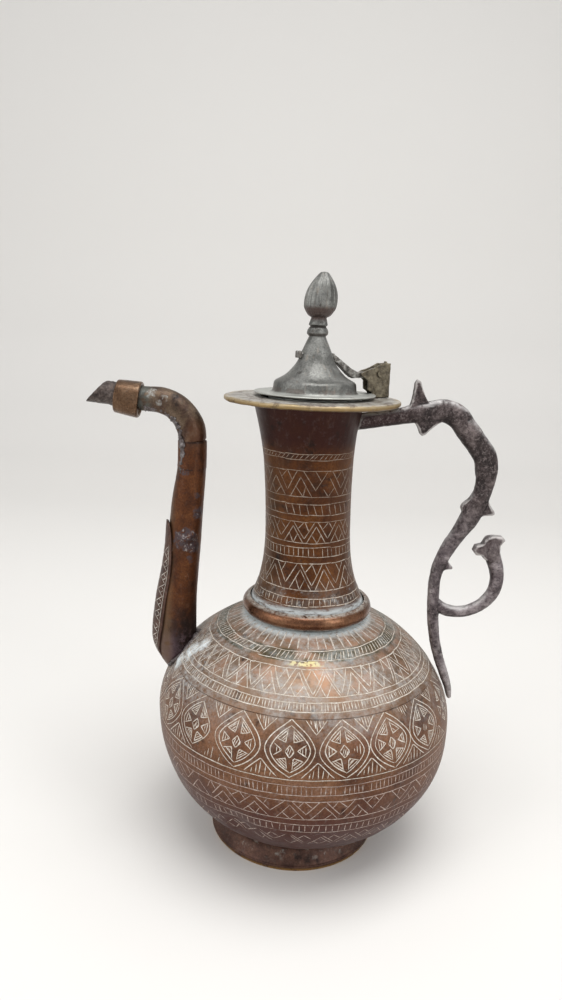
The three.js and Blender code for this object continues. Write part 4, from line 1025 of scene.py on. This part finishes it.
sleeve = catmull([
    (7.0, 1.6), (8.5, 1.3), (8.9, 0.5), (9.4, 0.1), (10.2, 0.1), (10.8, 0.8), (10.85, 2),
    (10.45, SLEEVE_LENGTH / 2), (9.95, SLEEVE_LENGTH - 1.6), (9.7, SLEEVE_LENGTH - 0.5),
    (9.1, SLEEVE_LENGTH - 0.1), (8.7, SLEEVE_LENGTH - 0.6), (8.4, SLEEVE_LENGTH - 1.4),
    (7.0, SLEEVE_LENGTH - 1.6),
], 4)
angles = np.linspace(0, 2 * math.pi, 96, endpoint=False)
radius, place = sleeve[:, :1], sleeve[:, 1:]
radius = radius + 0.12 * np.sin(3 * angles + place / 4)
y, z = radius * np.cos(angles), radius * np.sin(angles) - SLEEVE_SAG
rows = tilted(np.stack([0 * angles - place, y, z], -1))
piece("spout_sleeve", rows, grid_faces(*rows.shape[:2], closed_rows=True), sleeve_look,
      replaces=["spout_collar"], slot="belly_copper")


# Handle: bar, scroll, thorns and head joined into one casting

def thorn_outline(foot, tip, other, blunt):
    """Leaf between two feet and a blunt tip, bowed to each side."""
    foot, tip, other = (np.array(p, float) for p in (foot, tip, other))
    over = (other - foot) / np.linalg.norm(other - foot) * blunt
    blunted = tip + 0.09 * ((foot + other) / 2 - tip)
    sides = []
    for start, end in ((foot, blunted - over), (blunted + over, other)):
        middle = (start + end) / 2 + np.array([end[1] - start[1], start[0] - end[0]]) * 0.12
        t = np.linspace(0, 1, 7)[:, None]
        sides.append((1 - t) ** 2 * start + 2 * t * (1 - t) * middle + t**2 * end)
    return [*sides[0], tip, *sides[1]]


blocks = [
    sweep([(x, z, w / 2, d * HANDLE_DEPTH / 2) for x, z, w, d in bar], 10, rounded)
    for bar in (HANDLE, SCROLL)
]
blocks.append(plate(HEAD, 0.36 * HANDLE_DEPTH))
for *corners, share, blunt in THORNS:
    blocks.append(plate(thorn_outline(*corners, blunt), 0.42 * share * HANDLE_DEPTH))
handle_faces, count = [], 0
for rows in blocks:
    points, faces = capped(rows, start=count)
    handle_faces += faces
    count += len(points)
handle_points = np.vstack([rows.reshape(-1, 3) for rows in blocks])

# The arm ends just inside the neck's sheet and not in its bore
x, y, z = handle_points.T
way = x - neck.centre(z)
away = np.maximum(1, np.hypot(way, y))
push = np.maximum(0, neck.radius(z) - HANDLE_BITE - away) * (z > HANDLE_ROOT_Z)
handle_points[:, 0] += push * way / away
handle = piece("handle_casting", handle_points, handle_faces, cast_look, replaces=["handle"],
               slot="cast_alloy")


def handle_bump(p):
    """Rough cast skin, a few lobes and notches along the edges and hollows on the faces."""
    bump = 0.1 * noise(*(p.T / 2.2), seed=51) + 0.16 * noise(*(p.T / 6), seed=52)
    for x, z, size, height in HANDLE_LOBES:
        bump += height * np.exp(-((p[:, 0] - x) ** 2 + (p[:, 2] - z) ** 2) / size**2)
    return bump


remeshed(handle, 0.45, 6, handle_bump)


# Lid: shell and finial in the frame of the hinge
hinge_way = math.cos(HINGE_TURN), math.sin(HINGE_TURN)
lid_centre = [LID_OFFSET * share for share in hinge_way]
cone = catmull(LID_LINE, 10)
lid_outer = catmull([
    (25, 0.1), (29, 0.3), (33, 0.8), (LID_RADIUS - 1, 1.3), (LID_RADIUS - 0.1, 1.7), (LID_RADIUS - 0.1, 2.1),
    (LID_RADIUS - 0.8, 2.4), (33, 2.1), (30, 1.9), (27.6, 2.1), (26.2, 2.5), (25.3, 3.3), (24.9, 4.4),
    (24.6, 7.2), (24.3, 8.2), (23.6, 9.0),
], 4)[:-1].tolist()
lid_inner = [(max(2.4, r - 1.3), z - 1.1) for r, z in cone[::-3]] + [(23.8, 2.8)]
lid_line = [(r, z + LID_Z) for r, z in lid_outer + cone.tolist() + lid_inner]
turned("lid_cover", lid_line, tin_look, body="lid", centre=lid_centre, around=200, replaces=["lid_shell"],
       slot="tinned_copper", bump=lambda a, r, z: 0.12 * round_noise(a, z, 11, seed=61) * min(1, r / 12))

finial_line = [
    (0.01, -6), (2.1, -6), (2.2, -5.8), (2.2, -0.8), (4.4, -0.6), (5.4, 0.2), (6.2, 1.1), (6.3, 2.2),
    (5.9, 3.6), (5.2, 4.7), (4.7, 5.2), (5.0, 5.7), (5.6, 6.3), (5.4, 7.4), (4.8, 9.4), (4.6, 10.4),
]
bud_start = FINIAL_HEIGHT - BUD_HEIGHT
finial_line += [(share * BUD_RADIUS, bud_start + rise * BUD_HEIGHT) for share, rise in BUD_LINE]
finial_line += [(0.01, FINIAL_HEIGHT - 0.12)]


def leaned_finial(points):
    """Leans the finial towards the hinge, more and more to its tip."""
    lean = FINIAL_LEAN * np.maximum(0, (points[..., 2] - FINIAL_FOOT_Z) / FINIAL_HEIGHT) ** 1.5
    points[..., :2] += lean[..., None] * hinge_way
    return points


def bud_bump(angle, r, z):
    share = min(1, max(0, (z - FINIAL_FOOT_Z - bud_start) / BUD_HEIGHT))
    ribs = np.cos(np.radians(angle) * BUD_RIBS) + 0.5 * np.cos(np.radians(angle) * 31 + 1)
    return 0.24 * math.sin(math.pi * share) * ribs - 0.05 + 0.06 * round_noise(angle, z, 5, seed=63)


turned("lid_bud", catmull(finial_line, 4) + [0, FINIAL_FOOT_Z], tin_look, body="lid", centre=lid_centre,
       around=144, closed=False, shape=leaned_finial, bump=bud_bump, replaces=["lid_finial"],
       slot="tinned_copper")
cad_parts["lid_bezel"].data.materials.clear()
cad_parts["lid_bezel"].data.materials.append(tin_look)


def worn_copy(name, node, look, slot, seed, body="ewer", voxel=0.25, rough=0.08, size=2.0, grow=0):
    """Copy of a CAD piece with rounded edges and uneven faces. It may grow away from the hinge pin."""
    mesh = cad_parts[node].data.copy()
    mesh.transform(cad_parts[node].matrix_world)

    def bump(p):
        reach = (p[:, 0] - AXIS_X) * hinge_way[0] + p[:, 1] * hinge_way[1]
        return rough * noise(*(p.T / size), seed=seed) + grow * soft_step((28 - reach) / 4)

    remeshed(placed(name, mesh, look, body, [node], slot), voxel, 3, bump)


worn_copy("strap", "hinge_strap", strap_look, "tinned_copper", 81, body="lid", rough=0.16, grow=0.5)
worn_copy("bracket", "hinge_bracket", brass_look, "old_brass", 82, rough=0.12)
worn_copy("pin", "hinge_pin", brass_look, "old_brass", 83, voxel=0.2)
worn_copy("nozzle", "spout_nozzle", nozzle_look, "dark_copper", 84, rough=0.14, size=1.6)


# Engraved bands: strokes are rows of (angle, height) on a form

def engrave(name, form, strokes, material, seed, width=0.5, gap=0.03, slot="belly_copper"):
    """Narrow ribbons along strokes, tapered like cuts of a graver, with a share of them left out."""
    rng = np.random.default_rng(seed)
    points, faces = [], []
    for stroke in strokes:
        stroke = np.asarray(stroke, float)
        if len(stroke) < 20 and rng.random() < gap:
            continue
        here = form.at(stroke[:, 0], stroke[:, 1])
        length = np.linalg.norm(np.diff(here, axis=0), axis=1)
        total = np.concatenate([[0], np.cumsum(length)])
        steps = max(2, int(total[-1] / RIBBON_STEP))
        s = np.linspace(0, total[-1], steps + 1)
        angle, z = (
            np.interp(s, total, values) + rng.normal(0, 0.10) + sway * np.sin(s / span + rng.uniform(0, 6))
            for values, sway, span in ((stroke[:, 0], 0.10, 3), (stroke[:, 1], 0.08, 2.3))
        )
        middle = form.at(angle, z, RIBBON_OUT)
        side = form.at(angle + 0.05, z, RIBBON_OUT) - form.at(angle - 0.05, z, RIBBON_OUT)
        up = form.at(angle, z + 0.05, RIBBON_OUT) - form.at(angle, z - 0.05, RIBBON_OUT)
        across = np.cross(np.cross(side, up), np.gradient(middle, axis=0))
        across /= np.maximum(np.linalg.norm(across, axis=1), 1e-9)[:, None]
        taper = np.minimum(1, 0.25 + np.minimum(s, total[-1] - s) / 1.2) * rng.uniform(0.75, 1.2)
        half = (0.5 * width * taper)[:, None]
        faces += grid_faces(steps + 1, 2, closed_cols=False, start=sum(len(p) for p in points))
        points.append(np.stack([middle - across * half, middle + across * half], 1).reshape(-1, 3))
    piece(name, np.vstack(points), faces, material, slot)


def ring(z):
    """Ring in separate cuts that do not quite meet."""
    rng = np.random.default_rng(1 + int(z * 10))
    strokes = []
    for k in range(RING_CUTS):
        a = np.linspace(360 * k / RING_CUTS - 0.6, 360 * (k + 1) / RING_CUTS + 0.3, 24)
        wave = 0.15 * np.sin(np.radians(a * 3) + rng.uniform(0, 6))
        strokes.append(np.stack([a, z + wave + rng.normal(0, 0.08)], -1))
    return strokes


def ticks(low, high, count, slant=0.0):
    rng = np.random.default_rng(1 + count)
    step = 360 / count
    shake = lambda: rng.normal(0, 0.07) * step
    return [
        [(step * k + shake(), low + 0.2), (step * (k + slant) + shake(), high - 0.2)] for k in range(count)
    ]


def zigzag(low, high, count, phase=0.0, depth=0.8):
    """Triangles that stand and hang by turns with a plain band between them, each split by two cuts."""
    rng = np.random.default_rng(1 + count)
    step = 360 / count
    height = (high - low) * depth
    strokes = []
    for k in range(2 * count):
        base, way = (low, 1) if k % 2 else (high, -1)
        middle = phase + step * k / 2 + rng.normal(0, 0.025) * step
        half = step * (0.41 + rng.normal(0, 0.02))
        tip = base + way * height * (1 + rng.normal(0, 0.04))
        strokes += [[(middle - half, base), (middle, tip)], [(middle, tip), (middle + half, base)]]
        foot = middle + rng.normal(0, 0.03) * step
        for side in (-1, 1):
            share = 0.5 + rng.normal(0, 0.05)
            strokes += [[(foot, base), (middle + side * half * share, base + (tip - base) * (1 - share))]]
    return strokes


def ladder(low, high, count, slant=0.0):
    return ring(high) + ring(low) + ticks(low, high, count, slant)


def framed_zigzag(low, high, *more, **named):
    return ring(high) + zigzag(low, high, *more, **named) + ring(low)


def oval_line(middle, half, low, high):
    """The two sides of a pointed oval."""
    t = np.linspace(0, 1, 17)
    across = half * (1 - np.abs(2 * t - 1) ** OVAL_FULLNESS)
    z = low + (high - low) * t
    return [np.stack([middle - across, z], -1), np.stack([middle + across, z], -1)]


def cartouches(low, high, count, phase):
    """Pointed ovals in double lines: a plain star with a small lozenge inside, hatching round and between."""
    rng = np.random.default_rng(1)
    step = 360 / count
    height = high - low
    strokes = []
    for k in range(count):
        m = phase + step * k + rng.normal(0, 0.02) * step
        half = 0.475 * step
        strokes += oval_line(m, half, low + 0.2, high - 0.2)
        strokes += oval_line(m, half - 0.1 * step, low + 2.9, high - 2.9)
        at = lambda across, share: (m + across * step, low + height * share)

        def wedge(apex, one, other, cuts=4):
            """Two lines from an apex with cuts across between them."""
            one, apex, other = (np.array(p) for p in (one, apex, other))
            lines = [[at(*one), at(*apex), at(*other)]]
            for t in (np.arange(cuts) + 0.7) / cuts:
                lines.append([at(*(apex + (one - apex) * t)), at(*(apex + (other - apex) * t))])
            return lines

        for side in (-1, 1):
            for up in (1, -1):
                y = lambda v: 0.5 + up * v
                strokes += wedge((side * 0.07, y(0.13)), (side * 0.05, y(0.34)), (side * 0.25, y(0.18)))
            strokes += wedge((side * 0.15, 0.5), (side * 0.31, 0.6), (side * 0.31, 0.4), 3)
        strokes += [[at(*corner) for corner in line] for line in LOZENGE]
        between = m + step / 2
        for base, way, reach in ((high - 0.3, -1, 0.22), (low + 0.3, 1, 0.3)):
            tip = base + way * height * reach
            strokes += [[(between - reach * step, base), (between, tip), (between + reach * step, base)]]
            for i in range(-2, 3):
                across = between + 0.28 * reach * i * step
                rise = height * reach * (1 - abs(i) * 0.3) * 0.8
                strokes += [[(across, base), (across + 0.02 * step, base + way * rise)]]
    return strokes


neck_strokes = ladder(250.5, 253.6, 62, 0.9) + framed_zigzag(228.5, 243.9, 10, phase=8, depth=0.72)
neck_strokes += ladder(217.5, 224.1, 38, -0.35) + framed_zigzag(200.7, 213.5, 11, phase=-6)
neck_strokes += ladder(192.3, 197.7, 56, -0.1) + framed_zigzag(172.7, 188.1, 11, phase=4)
neck_strokes += ladder(163.6, 168.1, 62, 0.05)
engrave("neck_engraving", neck, neck_strokes, neck_lime, 71, width=0.42, gap=0.05, slot="neck_copper")

engrave("tick_engraving", shoulder, ticks(143.7, 148.8, 56), sheath_lime, 76, width=0.8)
shoulder_strokes = ladder(140.2, 143.2, 130, 0.8) + framed_zigzag(126.8, 137.2, 26, phase=2, depth=0.86)
engrave("shoulder_engraving", shoulder, shoulder_strokes + ladder(120.9, 124.6, 250), belly_lime, 72)
engrave("bowl_engraving", belly, cartouches(89.2, 117.9, 19, -5.9) + ring(88.0), belly_lime, 73)
low_strokes = ring(84.5) + ring(78.7) + ticks(78.9, 84.3, 220) + framed_zigzag(62.6, 75.1, 30, depth=0.7)
low_strokes += ring(58.2) + ticks(52.3, 58.0, 150) + ring(51.9) + zigzag(39.3, 48.8, 30, depth=0.8)
engrave("low_engraving", belly, low_strokes, low_lime, 74, width=0.44, gap=0.08)

sheath_strokes = [
    [(sheath_turn(z) + side * 0.86 * sheath_reach(z), z) for z in np.linspace(114, 191, 50)]
    for side in (-1, 1)
]
for z in np.arange(118, 186, 8):
    for side in (-1, 1):
        place = lambda turn, rise: (
            sheath_turn(z + rise) + side * turn / CELL_REACH * sheath_reach(z + rise), z + rise)
        sheath_strokes += [[place(*corner) for corner in line] for line in SHEATH_CELL]
engrave("sheath_engraving", sheath_form, sheath_strokes, sheath_lime, 75, width=0.42, slot="dark_copper")


# Stage: pale floor that rises into a backdrop, soft lamps, camera at the photograph's viewing angle

floor_mesh = bpy.data.meshes.new("floor")
profile = [(-1.6, 0), (0.9, 0), (1.15, 0.03), (1.35, 0.12), (1.5, 0.3), (1.55, 0.55), (1.55, 2.6)]
floor_points = [(x, y, z) for y, z in profile for x in (-2.6, 2.6)]
floor_mesh.from_pydata(floor_points, [], grid_faces(len(profile), 2, closed_cols=False))
floor_mesh.shade_smooth()
floor_mesh.materials.append(Look("floor_pale").finish(srgb("#e4e2de"), 0.9))
linked(bpy.data.objects.new("floor", floor_mesh))


def lamp(name, at, size, power):
    data = bpy.data.lights.new(name, "AREA")
    data.shape = "RECTANGLE"
    data.size, data.size_y = size
    data.energy = power
    obj = linked(bpy.data.objects.new(name, data))
    obj.location = at
    obj.rotation_euler = (Vector(LAMP_AIM) - Vector(at)).to_track_quat("-Z", "Y").to_euler()


lamp("lamp_top", (0.15, -0.25, 1.5), (1.2, 0.9), 16)
lamp("lamp_left", (-1.3, -0.8, 0.9), (0.8, 1.2), 8)
lamp("lamp_right", (1.2, -1.0, 0.8), (0.5, 1.0), 6)

# World: a paler grey where it is seen directly or through a mirror or glass
world = bpy.data.worlds.new("world")
world.use_nodes = True
nodes, links = world.node_tree.nodes, world.node_tree.links
rays = nodes.new("ShaderNodeLightPath").outputs
seen = rays["Is Camera Ray"]
for kind in ("Is Glossy Ray", "Is Transmission Ray"):
    either = nodes.new("ShaderNodeMath")
    either.operation = "MAXIMUM"
    links.new(seen, either.inputs[0])
    links.new(rays[kind], either.inputs[1])
    seen = either.outputs[0]
mixed = nodes.new("ShaderNodeMix")
mixed.data_type = "RGBA"
links.new(seen, mixed.inputs[0])
mixed.inputs[6].default_value = (0.55, 0.55, 0.56, 1)
mixed.inputs[7].default_value = (0.72, 0.72, 0.73, 1)
links.new(mixed.outputs[2], nodes["Background"].inputs["Color"])
bpy.context.scene.world = world

camera_data = bpy.data.cameras.new("camera")
camera_data.lens = CAMERA_LENS
camera_data.sensor_width = CAMERA_SENSOR
camera = linked(bpy.data.objects.new("camera", camera_data))
camera.location = Vector(CAMERA_PLACE) * MM
pitch = Euler((math.radians(90 - CAMERA_DOWN), 0, 0)).to_matrix()
camera.rotation_euler = (pitch @ Matrix.Rotation(math.radians(CAMERA_ROLL), 3, "Z")).to_euler()
bpy.context.scene.camera = camera
bpy.context.scene.view_settings.view_transform = "Standard"
